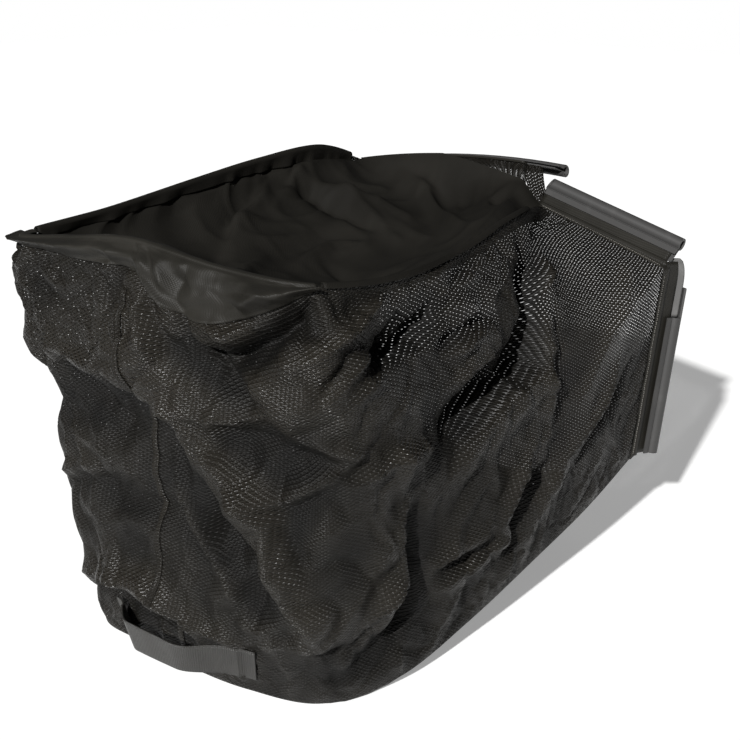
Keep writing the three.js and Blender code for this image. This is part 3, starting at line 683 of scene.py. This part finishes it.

# %% [markdown]
# ## The two mesh walls
# Each wall is one grid between the mouth and the rear centre seam. Some places are written down
# like folds, where the knit is pulled open or lies single before the light. Once the wall has
# settled, each of its points is given its openness and its painted fold shade, dark in the
# hollows and light on the crests, that the mesh finish asks for.

# %% Walls
WALL_CELL = 0.0036
OPEN_PLACES = [
    ([(0.10, 1.95), (0.25, 1.35)], 16, 480), ([(0.35, 1.97), (1.10, 1.62), (1.70, 1.25)], 20, 360),
    ([(1.95, 3.0), (2.05, 2.3)], 14, 300), ([(1.3, 3.2), (0.6, 2.6)], 40, 130),
    ([(8.5, 3.2), (8.4, 2.4)], 26, 300), ([(7.7, 3.1), (7.4, 2.2)], 26, 300),
    ([(9.4, 3.2), (10.6, 2.2)], 60, 260), ([(3.4, 3.2), (2.9, 2.9)], 20, 160),
    ([(5.2, 2.9), (5.7, 2.6)], 20, 160), ([(3.1, 1.3), (2.6, 1.1)], 20, 140),
]


def tension(u, v):
    """How far the slots stand open: 0.27 where the knit hangs slack, more where it is pulled"""
    front = smooth(1.9, 0.9, u) * smooth(1.0, 1.8, v)
    rear = smooth(6.6, 7.6, u) * smooth(10.5, 9.4, u) * smooth(1.2, 2.4, v)
    return 0.27 + 0.15 * front + 0.14 * rear + 0.6 * creases(OPEN_PLACES, u, v, crest=2.0)


def paint_knit(piece, pull, crest):
    """Openness of the mesh and its painted fold shade and light: a number for each point, or one for all
    """
    for label, value in (("tension", pull), ("crest", crest)):
        layer = piece.data.attributes.new(label, "FLOAT", "POINT")
        values = np.full(len(piece.data.vertices), value, np.float32)
        layer.data.foreach_set("value", values)


def painted_fold_shade(u, v):
    """Painted shade and light: 0, darkest, in the hollows of the folds, 1, lightest, on their crests"""
    rise = creases(FINE_FOLDS, u, v) + 0.5 * strokes(LARGE_FOLDS, u, v)
    rise = rise + 0.0015 * crumples(u, 0.9 * v, LARGE_CRUMPLE, 1)
    return smooth(-0.0035, 0.0045, rise)


def wall_piece(name, start, end):
    columns = int(round(abs(end - start) * 0.1 / WALL_CELL))
    rows = int(round(HEIGHT / WALL_CELL))

    def across(s):
        return start + (end - start) * s

    def place(s, t):
        return wall(across(s), TOP * t)

    def weave(s, t):
        u = across(s)
        level = loft(u.ravel(), TOP * t.ravel()).reshape(*u.shape, 3)
        return np.stack([0.1 * u, level[:1, :, 2] + arc_lengths(level, 0)], -1)

    piece = cloth_piece(name, columns, rows, place, KNIT, weave=weave)
    order = grid_order(piece.data)
    u, v = across(order[:, 0]), TOP * order[:, 1]
    free = smooth(0, 0.4, np.minimum(u, FAR_MOUTH - u)) * smooth(0, 0.25, v) * smooth(TOP, TOP - 0.5, v)
    free = free * smooth(0.02, 0.25, np.abs(u - REAR_SEAM))
    taut = smooth(2.2, 1.4, u) * smooth(0.8, 1.6, v)
    settle(piece, 1 - 0.7 * free * (1 - 0.6 * taut))
    # the painted fold shade and light reach the mesh finish through the crest attribute
    paint_knit(piece, tension(u, v), painted_fold_shade(u, v))
    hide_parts(name)
    return piece


wall_near = wall_piece("mesh_wall_near", 0.0, REAR_SEAM - 0.002)
wall_far = wall_piece("mesh_wall_far", REAR_SEAM + 0.002, FAR_MOUTH)

# %% [markdown]
# ## Cover and bottom
# Both are patches held at four edges: two sides, the rear and the mouth. The patch blends the
# edges, and the cloth then hangs in from them.

# %% Patch
UP = np.array((0.0, 0.0, 1.0))
NEAR_CORNER = 4.7
FAR_CORNER = FAR_MOUTH - NEAR_CORNER
COVER_LEVEL = TOP * 17 / 18
COVER_GAP, BOTTOM_GAP = 0.0017, 0.0016


LOW_NEAR, SHOULDER_POINT, TOP_NEAR = GUIDES[0, 0], GUIDES[2, 0], GUIDES[4, 0]
TOP_FAR, LOW_FAR = GUIDES[4, 14], GUIDES[0, 14]
TOP_HEM_START = TOP_NEAR + (0, 0.014, 0.047)


def bowed(start, end, bow, p):
    p = p[..., None]
    return start * (1 - p) + end * p + np.array(bow) * 4 * p * (1 - p)


def patch(level, gap, mouth, p, q):
    """p runs from the near side to the far side, q from the mouth to the rear"""
    def inside(u):
        return wall(u, np.full_like(u, level), -gap)

    zero, one = np.zeros_like(p), np.ones_like(p)

    def rear(p):
        return inside(NEAR_CORNER + (FAR_CORNER - NEAR_CORNER) * p)

    def near(q):
        return inside(NEAR_CORNER * q)

    def far(q):
        return inside(FAR_MOUTH - NEAR_CORNER * q)

    near_mouth, far_mouth = near(zero), far(zero)

    def front(p):
        first, last = smooth(0.03, 0, p)[..., None], smooth(0.97, 1, p)[..., None]
        return mouth(p) * (1 - first - last) + near_mouth * first + far_mouth * last

    P, Q = p[..., None], q[..., None]
    ruled = near(q) * (1 - P) + far(q) * P + front(p) * (1 - Q) + rear(p) * Q
    corners = (near_mouth * (1 - P) + far_mouth * P) * (1 - Q) + (near(one) * (1 - P) + far(one) * P) * Q
    return ruled - corners


# %% Dust cover
COVER_SAG = 0.092
COVER_TUCK, COVER_DIP, COVER_FRONT = 0.009, 0.052, 0.00035
COVER_SLACK, COVER_STRIP = 0.022, 0.115
COVER_FOLDS = [
    ([(0.97, 0.36), (0.92, 0.41), (0.86, 0.51), (0.76, 0.63)], 10, 5),
    ([(0.97, 0.42), (0.91, 0.46), (0.86, 0.54), (0.71, 0.68)], 14, -6),
    ([(0.96, 0.36), (0.87, 0.29), (0.7, 0.27), (0.49, 0.27)], 10, -5),
    ([(0.96, 0.29), (0.84, 0.24), (0.67, 0.2), (0.48, 0.19)], 12, 5),
    ([(1.0, 0.2), (0.94, 0.29), (0.88, 0.38)], 12, 6),
    ([(0.85, 0.56), (0.84, 0.51), (0.83, 0.46)], 9, 3),
    ([(0.46, 0.82), (0.62, 0.66), (0.69, 0.56)], 9, 3),
    ([(0.98, 0.7), (0.96, 0.66), (0.95, 0.62)], 12, -5),
    ([(0.98, 0.76), (1.0, 0.71), (1.0, 0.61), (0.99, 0.51)], 10, 5),
    ([(0.95, 0.89), (0.92, 0.85), (0.9, 0.8)], 12, -5),
    ([(0.73, 0.02), (0.5, 0.07), (0.18, 0.23)], 12, 6),
    ([(0.61, 0.01), (0.38, 0.05), (0.1, 0.1)], 12, -6),
    ([(0.78, 0.22), (0.61, 0.25), (0.45, 0.28)], 10, 5),
    ([(0.42, 0.03), (0.15, 0.09), (0.06, 0.0)], 12, 5),
    ([(0.54, 0.47), (0.4, 0.5), (0.31, 0.47)], 12, -5),
    ([(0.62, 0.51), (0.62, 0.4), (0.55, 0.35)], 10, 4),
]
COVER_SPAN = (4.0, 4.9)


def cover_mouth(p):
    line = bowed(TOP_HEM_START, TOP_FAR, (0, 0, 0.007), p)
    tuck = 1 - smooth(0, COVER_TUCK, line[..., 1] - TOP_HEM_START[1])
    slack = COVER_SLACK * np.clip(1 - (line[..., 1] - TOP_HEM_START[1]) / COVER_STRIP, 0, 1)
    return line - np.array((COVER_FRONT, 0, 0)) - UP * np.maximum(COVER_DIP * tuck, slack)[..., None]


def cover_point(p, q):
    points = patch(COVER_LEVEL, COVER_GAP, cover_mouth, p, q)
    hang = np.abs(np.sin(np.pi * p)) ** 0.8 * np.abs(np.sin(np.pi * q ** 0.8)) ** 0.8
    held = smooth(0, 0.1, p) * smooth(1, 0.9, p) * smooth(0, 0.1, q) * smooth(1, 0.9, q)
    folds = FINE_RISE * creases(COVER_FOLDS, p, q, COVER_SPAN, 1.5) + 0.014 * rolling(3.4 * p, 3.2 * q, 4)
    folds = folds + LARGE_CRUMPLE_RISE * crumples(COVER_SPAN[0] * p, COVER_SPAN[1] * q, 85, 5)
    points[..., 2] += folds * held - COVER_SAG * hang
    return points


cover = cloth_piece("dust_cover", 110, 130, cover_point, WOVEN)
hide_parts("dust_cover")

# %% Bottom panel
BOTTOM_SAG, BOTTOM_DIP = 0.085, 0.072


def bottom_mouth(p):
    return bowed(LOW_NEAR, LOW_FAR, (0, 0, -BOTTOM_DIP), p) + np.array((-0.001, 0, 0))


def bottom_point(p, q):
    points = patch(0.0, BOTTOM_GAP, bottom_mouth, p, q)
    hang = (1 - np.abs(2 * p - 1) ** 1.15) * smooth(0, 0.05, q) * smooth(1, 0.96, q)
    points[..., 2] = np.maximum(0.001, points[..., 2] - BOTTOM_SAG * hang)
    return points


bottom = cloth_piece("bottom_panel", 70, 80, bottom_point, COATED, thickness=0.001)
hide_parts("bottom_panel")


# %% [markdown]
# ## Band, tapes and handle
# The dust cover's cloth is folded out over the rear rim and sewn down as a loose band. Narrow
# tapes bind the side rims, a felled seam runs down the rear, and a webbing strap is sewn on low
# down as a grab handle. All of them lie on the wall, so each is placed by the wall's own places.

# %% Rear band
MESH_CLOTH, LAYER_EASE, BAND_CLOTH = 0.0016, 0.0009, 0.0012
BAND_FROM, BAND_TO = 4.95, 9.2
BAND_DEPTHS = np.array([6, 28, 42, 43, 27, 26, 24, 18, 12, 6]) / 1000
RIM_STEP = 0.060
BAND_FOLDS = [
    ([(0.93, 0.69), (0.75, 0.49), (0.62, 0.56), (0.54, 0.92)], 14, 5),
    ([(0.49, 1.0), (0.45, 0.59), (0.44, 0.29)], 7, -5),
    ([(0.46, 1.0), (0.44, 0.66), (0.41, 0.37)], 7, 5),
    ([(0.44, 1.0), (0.42, 0.64), (0.39, 0.39)], 7, -5),
    ([(0.43, 0.75), (0.38, 0.78), (0.31, 0.88), (0.27, 0.85)], 8, 5),
    ([(0.28, 0.98), (0.22, 0.95), (0.15, 0.78), (0.12, 0.44), (0.15, 0.24), (0.2, 0.19)], 8, 5),
    ([(0.24, 0.61), (0.18, 0.53), (0.16, 0.37)], 10, -4),
    ([(0.38, 0.58), (0.31, 0.47), (0.26, 0.41)], 8, -4),
    ([(0.11, 0.88), (0.07, 0.32), (0.07, 0.0)], 9, 4),
    ([(0.58, 1.0), (0.52, 0.75), (0.47, 0.47)], 8, -4),
]
BAND_SPAN = (4.25, 0.36)
BAND_FALL, BAND_PUFF, BAND_INSIDE = 0.72, 0.009, 0.009


def band_level(u):
    place = (len(BAND_DEPTHS) - 1) * (np.ravel(u) - BAND_FROM) / (BAND_TO - BAND_FROM)
    points, weights = curve_weights(place, len(BAND_DEPTHS))
    return TOP - ((BAND_DEPTHS[points] * weights).sum(1) / RIM_STEP).reshape(np.shape(u))


def rim_and_normal(u):
    normal = outward(wall, u.ravel(), np.full(u.size, TOP - 0.01)).reshape(*u.shape, 3)
    return wall(u, np.full_like(u, TOP)), normal


def over_rim(u, turn, clear, reach):
    """From the outside (turn 0) over the rim to the inside (turn 1)"""
    rim, normal = rim_and_normal(u)
    out = np.interp(turn, [0, 0.3, 0.6, 1], [clear, 0.6 * clear, -0.002, -reach])
    up = np.interp(turn, [0, 0.3, 0.6, 1], [0, 0.0019, 0.0032, 0.0024])
    return rim + normal * out[..., None] + UP * up[..., None]


def band_point(s, t):
    u = BAND_FROM + 0.02 + (BAND_TO - BAND_FROM - 0.04) * s
    clear = MESH_CLOTH / 2 + LAYER_EASE + BAND_CLOTH / 2
    rise = np.clip(t / BAND_FALL, 0, 1)
    low = band_level(u)
    puff = BAND_PUFF * np.sin(np.pi * np.minimum(1, 1.15 * rise)) ** 2
    folds = 1.6 * creases(BAND_FOLDS, s, rise, BAND_SPAN, 1.4)
    folds = folds + 0.0020 * crumples(BAND_SPAN[0] * s, BAND_SPAN[1] * rise, SMALL_CRUMPLE, 6)
    puff = puff + np.maximum(folds, -0.8 * puff) * np.sin(np.pi * rise) ** 0.5
    outside = wall(u, low + (TOP - low) * rise, clear + puff)
    over = over_rim(u, np.clip((t - BAND_FALL) / (1 - BAND_FALL), 0, 1), clear, BAND_INSIDE)
    return np.where((t < BAND_FALL)[..., None], outside, over)


band = cloth_piece("rear_band", 200, 36, band_point, LIT_BAND_WOVEN, thickness=0.0010)
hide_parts("rear_band")


# %% Rim tapes
RIM_LEG, LINING = 0.0028, 0.0150
HALF_TAPE = 0.0006
TAPE_TURN = [0, 0.2, 0.28, 0.42, 0.5, 1]


def rim_tape(name, start, end):
    clear = MESH_CLOTH / 2 + LAYER_EASE + HALF_TAPE
    crown = 1.2 * clear

    def place(s, t):
        u = start + (end - start) * s
        rim, normal = rim_and_normal(u)
        up = rim - wall(u, np.full_like(u, TOP) - 0.02)
        up = up / np.linalg.norm(up, axis=-1, keepdims=True)
        down = (wall(u, np.full_like(u, TOP) - LINING / RIM_STEP) - rim) / LINING
        side = np.interp(t, TAPE_TURN, [1, 1, 0.6, -0.6, -1, -1]) * clear
        high = np.interp(t, TAPE_TURN, [-RIM_LEG, 0, crown, crown, 0, -LINING])[..., None]
        return rim + normal * side[..., None] + up * np.maximum(high, 0) + down * np.maximum(-high, 0)

    piece = cloth_piece(name, int(abs(end - start) * 25), 16, place, WOVEN, thickness=0.0009)
    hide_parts(name)


rim_tape("rim_tape_near", 0.92, BAND_FROM - 0.05)
rim_tape("rim_tape_far", BAND_TO + 0.05, FAR_MOUTH - 0.3)


# %% Rear seam
SEAM_HALF, SEAM_LOW, SEAM_BELOW_BAND = 0.034, 0.2, 0.25


def seam_point(s, t):
    u = REAR_SEAM + SEAM_HALF * (2 * s - 1)
    top = band_level(np.array([REAR_SEAM]))[0] - SEAM_BELOW_BAND
    crown = 0.0005 * np.sin(np.pi * s) ** 0.6
    ripple = 0.0002 * np.sin(2 * np.pi * t * 46)
    return wall(u, SEAM_LOW + (top - SEAM_LOW) * t, MESH_CLOTH / 2 + 0.0003 + crown + ripple)


seam = cloth_piece("rear_seam_tape", 8, 160, seam_point, KNIT, thickness=0.0006)
# a fixed crest of 0.75 paints the seam tape lighter, as the crests of the folds are painted
paint_knit(seam, 0.0, 0.75)
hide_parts("rear_seam_tape")


# %% Webbing finish
def webbing(name, tone, roughness, rib=0.0022):
    finish = Finish(name, roughness=roughness, specular=0.5)
    threads = finish.cloth_place()
    x, y, _ = finish.split(finish.scaled(threads, (2 * math.pi / rib, 2 * math.pi / 0.0008, 1.0)))
    wear = finish.cloud(finish.place(), 30.0, 4.0).between(0.35, 0.75)
    finish.bumps(x.wave() * 0.7 + y.wave() * 0.3, 0.0005, 0.7)
    finish.shade(wear, tone, 0.8, 1.3)
    finish.feed("Roughness", roughness + (wear - 0.5) * 0.15)
    return finish


WEBBING = webbing("webbing", (0.022, 0.021, 0.0185), 0.45)

# %% Grab handle
STRAP_REACH, STRAP_NEAR = 0.98, 0.20
STRAP_STAND, STRAP_LEVEL, STRAP_WIDE = 0.017, 0.40, 0.030
STRAP_FREE, CALM_LIFT = 0.0043, 0.0012


def calm_wall(u, v, off):
    """The wall with its large folds only, for what is stiffer than the mesh"""
    low, high = u.ravel(), v.ravel()
    away = strokes(LARGE_FOLDS, low, high) + CALM_LIFT + np.ravel(off)
    return (loft(low, high) + outward(loft, low, high) * away[:, None]).reshape(*u.shape, 3)


def strap_point(s, t):
    around = 2 * s - 1
    u = REAR_SEAM + STRAP_REACH * around - STRAP_NEAR * smooth(0.6, -1.0, around)
    loop = STRAP_STAND * smooth(-0.7, -0.1, around) * smooth(0.93, 0.5, around)
    flat = np.where(np.abs(around) > 0.8, MESH_CLOTH / 2 + LAYER_EASE + 0.0009, STRAP_FREE)
    half = STRAP_WIDE / 0.2
    low = calm_wall(u, np.full_like(u, STRAP_LEVEL - half), flat + loop)
    high = calm_wall(u, np.full_like(u, STRAP_LEVEL + half), flat + loop)
    return low * (1 - t[..., None]) + high * t[..., None]


strap = cloth_piece("grab_handle", 110, 10, strap_point, WEBBING, thickness=0.0016)
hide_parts("grab_handle")

# %% [markdown]
# ## Hems and bindings of the mouth
# A folded hem is sewn to each side of the mouth. An extruded plastic strip grips it with two
# leaves and ends in a split tube, which clips over the wire of the frame. The strip is one
# section pushed along a line, so it is an extruded face.

# %% Sides of the mouth
HEM_WIDE, HEM_THICK = 0.024, 0.0022
GRIP = HEM_THICK / 2 + 0.0003
NEARWARD, FARWARD = np.array((0.0, -1, 0)), np.array((0.0, 1, 0))


def unit(vector):
    return vector / np.linalg.norm(vector)


class MouthSide:
    def __init__(self, start, end, roll, lift, sag):
        self.start, self.length = start, np.linalg.norm(end - start)
        self.tangent = unit(end - start)
        forward = np.array((1.0, 0, 0))
        forward = unit(forward - self.tangent * forward.dot(self.tangent))
        lift = lift - self.tangent * lift.dot(self.tangent)
        lift = unit(lift - forward * lift.dot(forward))
        roll = math.radians(roll)
        self.out = forward * math.cos(roll) + lift * math.sin(roll)
        self.side = lift * math.cos(roll) - forward * math.sin(roll)
        self.foot = 0.0003 + GRIP * abs(math.sin(roll))
        self.sag = np.array(sag)

    def at(self, distance, out=0.0, side=0.0):
        d, out, side = (np.asarray(x, float)[..., None] for x in np.broadcast_arrays(distance, out, side))
        t = d / self.length
        line = self.start + self.tangent * d + self.sag * 4 * t * (1 - t)
        return line + self.out * out + self.side * side


SIDES = {
    "side_near": MouthSide(LOW_NEAR, SHOULDER_POINT, 12, NEARWARD, (0, 0, 0)),
    "shoulder": MouthSide(SHOULDER_POINT, TOP_NEAR, 45, UP, (0, 0, 0)),
    "top": MouthSide(TOP_HEM_START, TOP_FAR, -21, UP, (0, 0, 0.007)),
    "side_far": MouthSide(TOP_FAR, LOW_FAR, 12, FARWARD, (0, 0, 0)),
    "bottom": MouthSide(LOW_FAR, LOW_NEAR, 0, -UP, (0, 0, -BOTTOM_DIP)),
}
for name, edge in SIDES.items():
    print(name, "is", round(float(edge.length), 3), "m long")


# %% Hems
TAPE_CELL = 0.004


def hem_piece(name):
    edge = SIDES[name]
    first = 0.006 if name == "top" else 0.003
    last = edge.length + (0.004 if name == "side_near" else 0.0005)

    def place(s, t):
        return edge.at(first + (last - first) * s, edge.foot + (HEM_WIDE - edge.foot) * t, -HEM_THICK / 2)

    columns = int(edge.length / TAPE_CELL)
    piece = cloth_piece("hem_" + name, columns, 8, place, HEM, thickness=HEM_THICK)
    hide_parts("hem_" + name)


for name in SIDES:
    hem_piece(name)


# %% [markdown]
# At the near top corner the mesh is gathered up from the end of the rim to the two hems. A long
# narrow wedge of it also fills the place between the top hem and the slack edge of the cover.

# %% Corner gussets
def corner_point(s, t):
    """A small gathered sheet between the rim's end (foot), the shoulder hem and the top hem"""
    top, shoulder = SIDES["top"], SIDES["shoulder"]
    foot = TOP_NEAR + np.array((-0.003, 0.0, -0.012))
    far, near = top.at(0.012, 0.004, -0.003), top.at(-0.014, 0.008, -0.003)
    beside = shoulder.at(shoulder.length + 0.001, 0.017, -0.001)
    s, t = s[..., None], t[..., None]
    points = (1 - t) * ((1 - s) * foot + s * beside) + t * ((1 - s) * far + s * near)
    ripple = 0.0020 * np.sin(2 * np.pi * 3.3 * s) * np.sin(np.pi * np.clip(t, 0, 0.8)) ** 0.5
    return points + np.array((-1.0, -0.3, 0)) * ripple


def wedge_point(s, t):
    """From the slack edge of the cover up to the top hem, with small gathers at the near end"""
    top = SIDES["top"]
    low = cover_mouth(0.985 * s)
    along = (low - top.start) @ top.tangent
    high = top.at(along, top.foot + 0.003, -HEM_THICK / 2 - 0.0008)
    bulge = 0.0015 * np.sin(np.pi * t) * (1 + np.sin(40 * s)) * smooth(0.5, 0.3, s)
    return low * (1 - t[..., None]) + high * t[..., None] - np.array((1.0, 0, 0)) * bulge[..., None]


corner_gusset = cloth_piece("corner_gusset", 30, 24, corner_point, KNIT)
wedge_gusset = cloth_piece("wedge_gusset", 100, 10, wedge_point, KNIT)
for gusset in (corner_gusset, wedge_gusset):
    # a fixed crest of 0.5 gives the gussets a middle level of the painted fold shade
    paint_knit(gusset, 0.42, 0.5)

# %% [markdown]
# The hem is sewn over the edge of the cloth. A narrow tape laps the seam on the outside: it
# starts on the cloth, ten millimetres in, and ends on the hem, so no gap shows between them. The
# top has none, because the wedge of mesh closes it.

# %% Seam tapes of the mouth
LAP_ON_CLOTH, LAP_ON_HEM = 0.010, 0.0045


def wall_edge(u, inwards, low, high):
    """at(t, depth, off): t along the edge, depth into the wall and off it, in metres"""
    def at(t, depth, off):
        return wall(u + inwards * depth / 0.1, low + (high - low) * t, off)
    return at


def bottom_edge(t, depth, off):
    p = 0.99 - 0.98 * t
    return bottom_point(p, np.full_like(p, 2.0 * depth)) - UP * off


CLOTH_EDGES = {
    "side_near": wall_edge(0.0, 1, 0.0, 2.0), "shoulder": wall_edge(0.0, 1, 2.0, TOP),
    "side_far": wall_edge(FAR_MOUTH, -1, TOP, 0.0), "bottom": bottom_edge,
}


def lap_tape(name):
    edge, cloth = SIDES[name], CLOTH_EDGES[name]

    def place(s, t):
        along = np.clip((cloth(s, 0.0, 0.0) - edge.start) @ edge.tangent, 0.001, edge.length - 0.001)
        lift = HEM_THICK / 2 + 0.0007
        knots = [cloth(s, LAP_ON_CLOTH, 0.0013), cloth(s, 0.0006, 0.0017),
                 edge.at(along, edge.foot, lift + 0.0004), edge.at(along, edge.foot + LAP_ON_HEM, lift)]
        return sum(knot * np.clip(1 - np.abs(3 * t - k), 0, 1)[..., None] for k, knot in enumerate(knots))

    columns = int(edge.length / TAPE_CELL)
    piece = cloth_piece("seam_tape_" + name, columns, 9, place, HEM, thickness=0.0006)


for name in CLOTH_EDGES:
    lap_tape(name)


# %% Plastic finish
def plastic(name, tone, roughness):
    finish = Finish(name, roughness=roughness, specular=0.35)
    place = finish.place()
    grain = finish.cloud(place, 900.0, 2.0)
    scuff = finish.cloud(place, 35.0, 5.0).between(0.5, 0.72)
    finish.bumps(grain, 0.0001, 0.35)
    finish.shade(scuff, tone, 1.0, 1.35)
    finish.feed("Roughness", roughness + scuff * 0.06)
    return finish


PLASTIC = plastic("binding_plastic", (0.042, 0.041, 0.040), 0.5)
# The corner plate is the same plastic as the bindings. Its tone, near three times theirs, is painted
# light for the highlight on its bent face.
LIT_PLATE_PLASTIC = plastic("binding_plastic_painted_lighter", (0.115, 0.113, 0.110), 0.36)

# %% Binding section
BORE, TUBE_WALL, LEAF = 0.0043, 0.0024, 0.0014
TUBE = BORE + TUBE_WALL
TUBE_AT = HEM_WIDE + BORE + 0.001
NECK, LIP = TUBE_AT - TUBE, GRIP + LEAF
OUTER_END, INNER_END = NECK - 0.0075, NECK - 0.015
STEP_DOWN = 0.0009
CUT_ANGLE = 0.28 * math.pi


def arc(radius, start, end, steps):
    return [(TUBE_AT + radius * math.cos(a), radius * math.sin(a))
            for a in np.linspace(start, end, steps + 1)]


def keyhole(steps=28):
    """The whole section: two leaves and a tube that is open between them"""
    outside, bore = math.pi - math.asin((LIP - STEP_DOWN) / TUBE), math.pi - math.asin(GRIP / BORE)
    return [(OUTER_END, GRIP), (OUTER_END, LIP), (NECK - 0.0012, LIP), (NECK - 0.0002, LIP - STEP_DOWN),
            *arc(TUBE, outside, -outside, steps),
            (INNER_END, -LIP), (INNER_END, -GRIP), *arc(BORE, -bore, bore, steps)]


def lip_section(steps=16):
    """The inner leaf and the inner half of the tube, where the outer half is cut away"""
    return [*arc(TUBE, CUT_ANGLE, -math.pi + math.asin(LIP / TUBE), steps),
            (INNER_END, -LIP), (INNER_END, -GRIP),
            *arc(BORE, -math.pi + math.asin(GRIP / BORE), CUT_ANGLE, steps)]


def binding_piece(name, places, section, suffix="", slant=0.0):
    """slant cuts the far end aslant, by that much for each metre across the section"""
    edge = SIDES[name]
    maker = bmesh.new()
    ring = [maker.verts.new(edge.at(places[0], out, side)) for out, side in section]
    face = maker.faces.new(ring)
    for here, there in zip(places, places[1:]):
        made = bmesh.ops.extrude_face_region(maker, geom=[face])["geom"]
        verts = [part for part in made if isinstance(part, bmesh.types.BMVert)]
        bmesh.ops.translate(maker, verts=verts, vec=Vector(edge.at(there) - edge.at(here)))
        face = next(part for part in made if isinstance(part, bmesh.types.BMFace))
    for vert in face.verts:
        lean = (np.array(vert.co) - edge.at(places[-1])).dot(edge.side) + TUBE
        vert.co -= Vector(edge.tangent * lean * slant)
    bmesh.ops.recalc_face_normals(maker, faces=maker.faces)
    piece = finish_mesh("binding_" + name + suffix, maker, PLASTIC)
    piece.data.set_sharp_from_angle(angle=0.5)
    if not suffix:
        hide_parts("binding_" + name)
    print("binding", name, len(piece.data.polygons), "faces")


# %% Bindings
BINDING_ENDS = {"side_near": (0.002, 0.055), "shoulder": (-0.001, -0.009),
                "top": (-0.029, 0.008), "side_far": (0.020, 0.010)}
SHOULDER_SLANT = 0.8
for name, (start, end) in BINDING_ENDS.items():
    binding_piece(name, np.linspace(start, SIDES[name].length - end, 13), keyhole(),
                  slant=SHOULDER_SLANT if name == "shoulder" else 0.0)
binding_piece("bottom", np.linspace(0.003, SIDES["bottom"].length - 0.003, 13)[3:10], keyhole())
cut_from = SIDES["side_near"].length - 0.0549
cut_to = SIDES["side_near"].length - 0.024
binding_piece("side_near", np.linspace(cut_from, cut_to, 5), lip_section(), "_lip")

# %% [markdown]
# Above the cut-off tube the strip runs on as a bare curved plate, rounded at the corner of the
# mouth, so that the bag can be hooked over the end of the wire.

# %% Corner plate
PLATE_LONG, PLATE_FOOT, PLATE_WIDE, PLATE_ROUND = 0.0620, 0.010, 0.0215, 0.0125


def plate_point(s, t):
    corner = np.clip((t - 0.55) / 0.45, 0, 1)
    rounded = PLATE_ROUND * (1 - np.sqrt(np.maximum(1 - corner ** 2, 0)))
    reach = PLATE_FOOT + (PLATE_WIDE - rounded) * s
    return SIDES["side_near"].at(cut_from + PLATE_LONG * t, reach, -0.0030 + 0.0045 * s ** 2)


# the plate's plastic is painted lighter to stand for its highlight
plate = cloth_piece("binding_corner_plate", 12, 20, plate_point, LIT_PLATE_PLASTIC, thickness=0.0012)

# %% [markdown]
# ## Stitching
# Thread is what makes a seam read as sewn. Each stitch is a small rounded bead, leaning left and
# right in turn along the seam, and of a few faces only, because there are hundreds.

# %% Stitches
THREAD = webbing("thread", (0.11, 0.103, 0.09), 0.45, rib=0.0006)
PITCH, STITCH_LONG, STITCH_RADIUS, LEAN = 0.0022, 0.0026, 0.00055, 0.8


def stitch_run(name, path):
    reach = np.concatenate([[0], np.cumsum(np.linalg.norm(np.diff(path, axis=0), axis=1))])
    spots = np.arange(PITCH, reach[-1] - PITCH, PITCH)
    centres = np.stack([np.interp(spots, reach, path[:, k]) for k in range(3)], 1)
    ahead = np.stack([np.interp(spots + 0.001, reach, path[:, k]) for k in range(3)], 1)
    maker = bmesh.new()
    for count, (centre, front) in enumerate(zip(centres, ahead)):
        lean = Matrix.Rotation(LEAN if count % 2 else -LEAN, 4, "Z")
        turn = Vector(front - centre).to_track_quat("X", "Z").to_matrix().to_4x4() @ lean
        size = Matrix.Diagonal((STITCH_LONG / 2, STITCH_RADIUS, STITCH_RADIUS, 1.0))
        bmesh.ops.create_icosphere(maker, subdivisions=1, radius=1.0,
                                   matrix=Matrix.Translation(Vector(centre)) @ turn @ size)
    piece = finish_mesh(name, maker, THREAD)
    print(name, len(spots), "stitches")


for name, edge_at in CLOTH_EDGES.items():
    stitch_run("stitches_" + name, edge_at(np.linspace(0.02, 0.98, 60), LAP_ON_CLOTH - 0.0022, 0.0024))

# %% [markdown]
# ## What the cloth was cut to
# Each piece of cloth is listed with the width and length that it was cut to, taken along its
# threads, and with the area of the cut, because none is a plain rectangle, and the list is
# printed. Tapes, hems and stitches are sewn onto the cloth, so they are listed with it.


CUTS = [
    (wall_near, (0.70, 0.49), 0.321, "gathered", ["bottom_panel"],
     ["hem_side_near", "hem_shoulder", "rim_tape_near", "seam_tape_side_near", "seam_tape_shoulder",
      "stitches_side_near", "stitches_shoulder", "corner_gusset", "wedge_gusset"]),
    (wall_far, (0.70, 0.42), 0.282, "gathered", ["bottom_panel"],
     ["hem_side_far", "rim_tape_far", "seam_tape_side_far", "stitches_side_far", "rear_seam_tape"]),
    (cover, (0.431, 0.597), 0.203, "draped", ["hem_top"], ["hem_top"]),
    (bottom, (0.469, 0.515), 0.195, "laid", [], ["hem_bottom", "seam_tape_bottom", "stitches_bottom"]),
    (band, (0.442, 0.062), 0.0193, "folded", ["mesh_wall_near", "mesh_wall_far"], []),
]
for piece, flat, area, held, rests_on, sewn in CUTS:
    print(piece.name, "was cut to", flat, "with an area of", area, "m2")
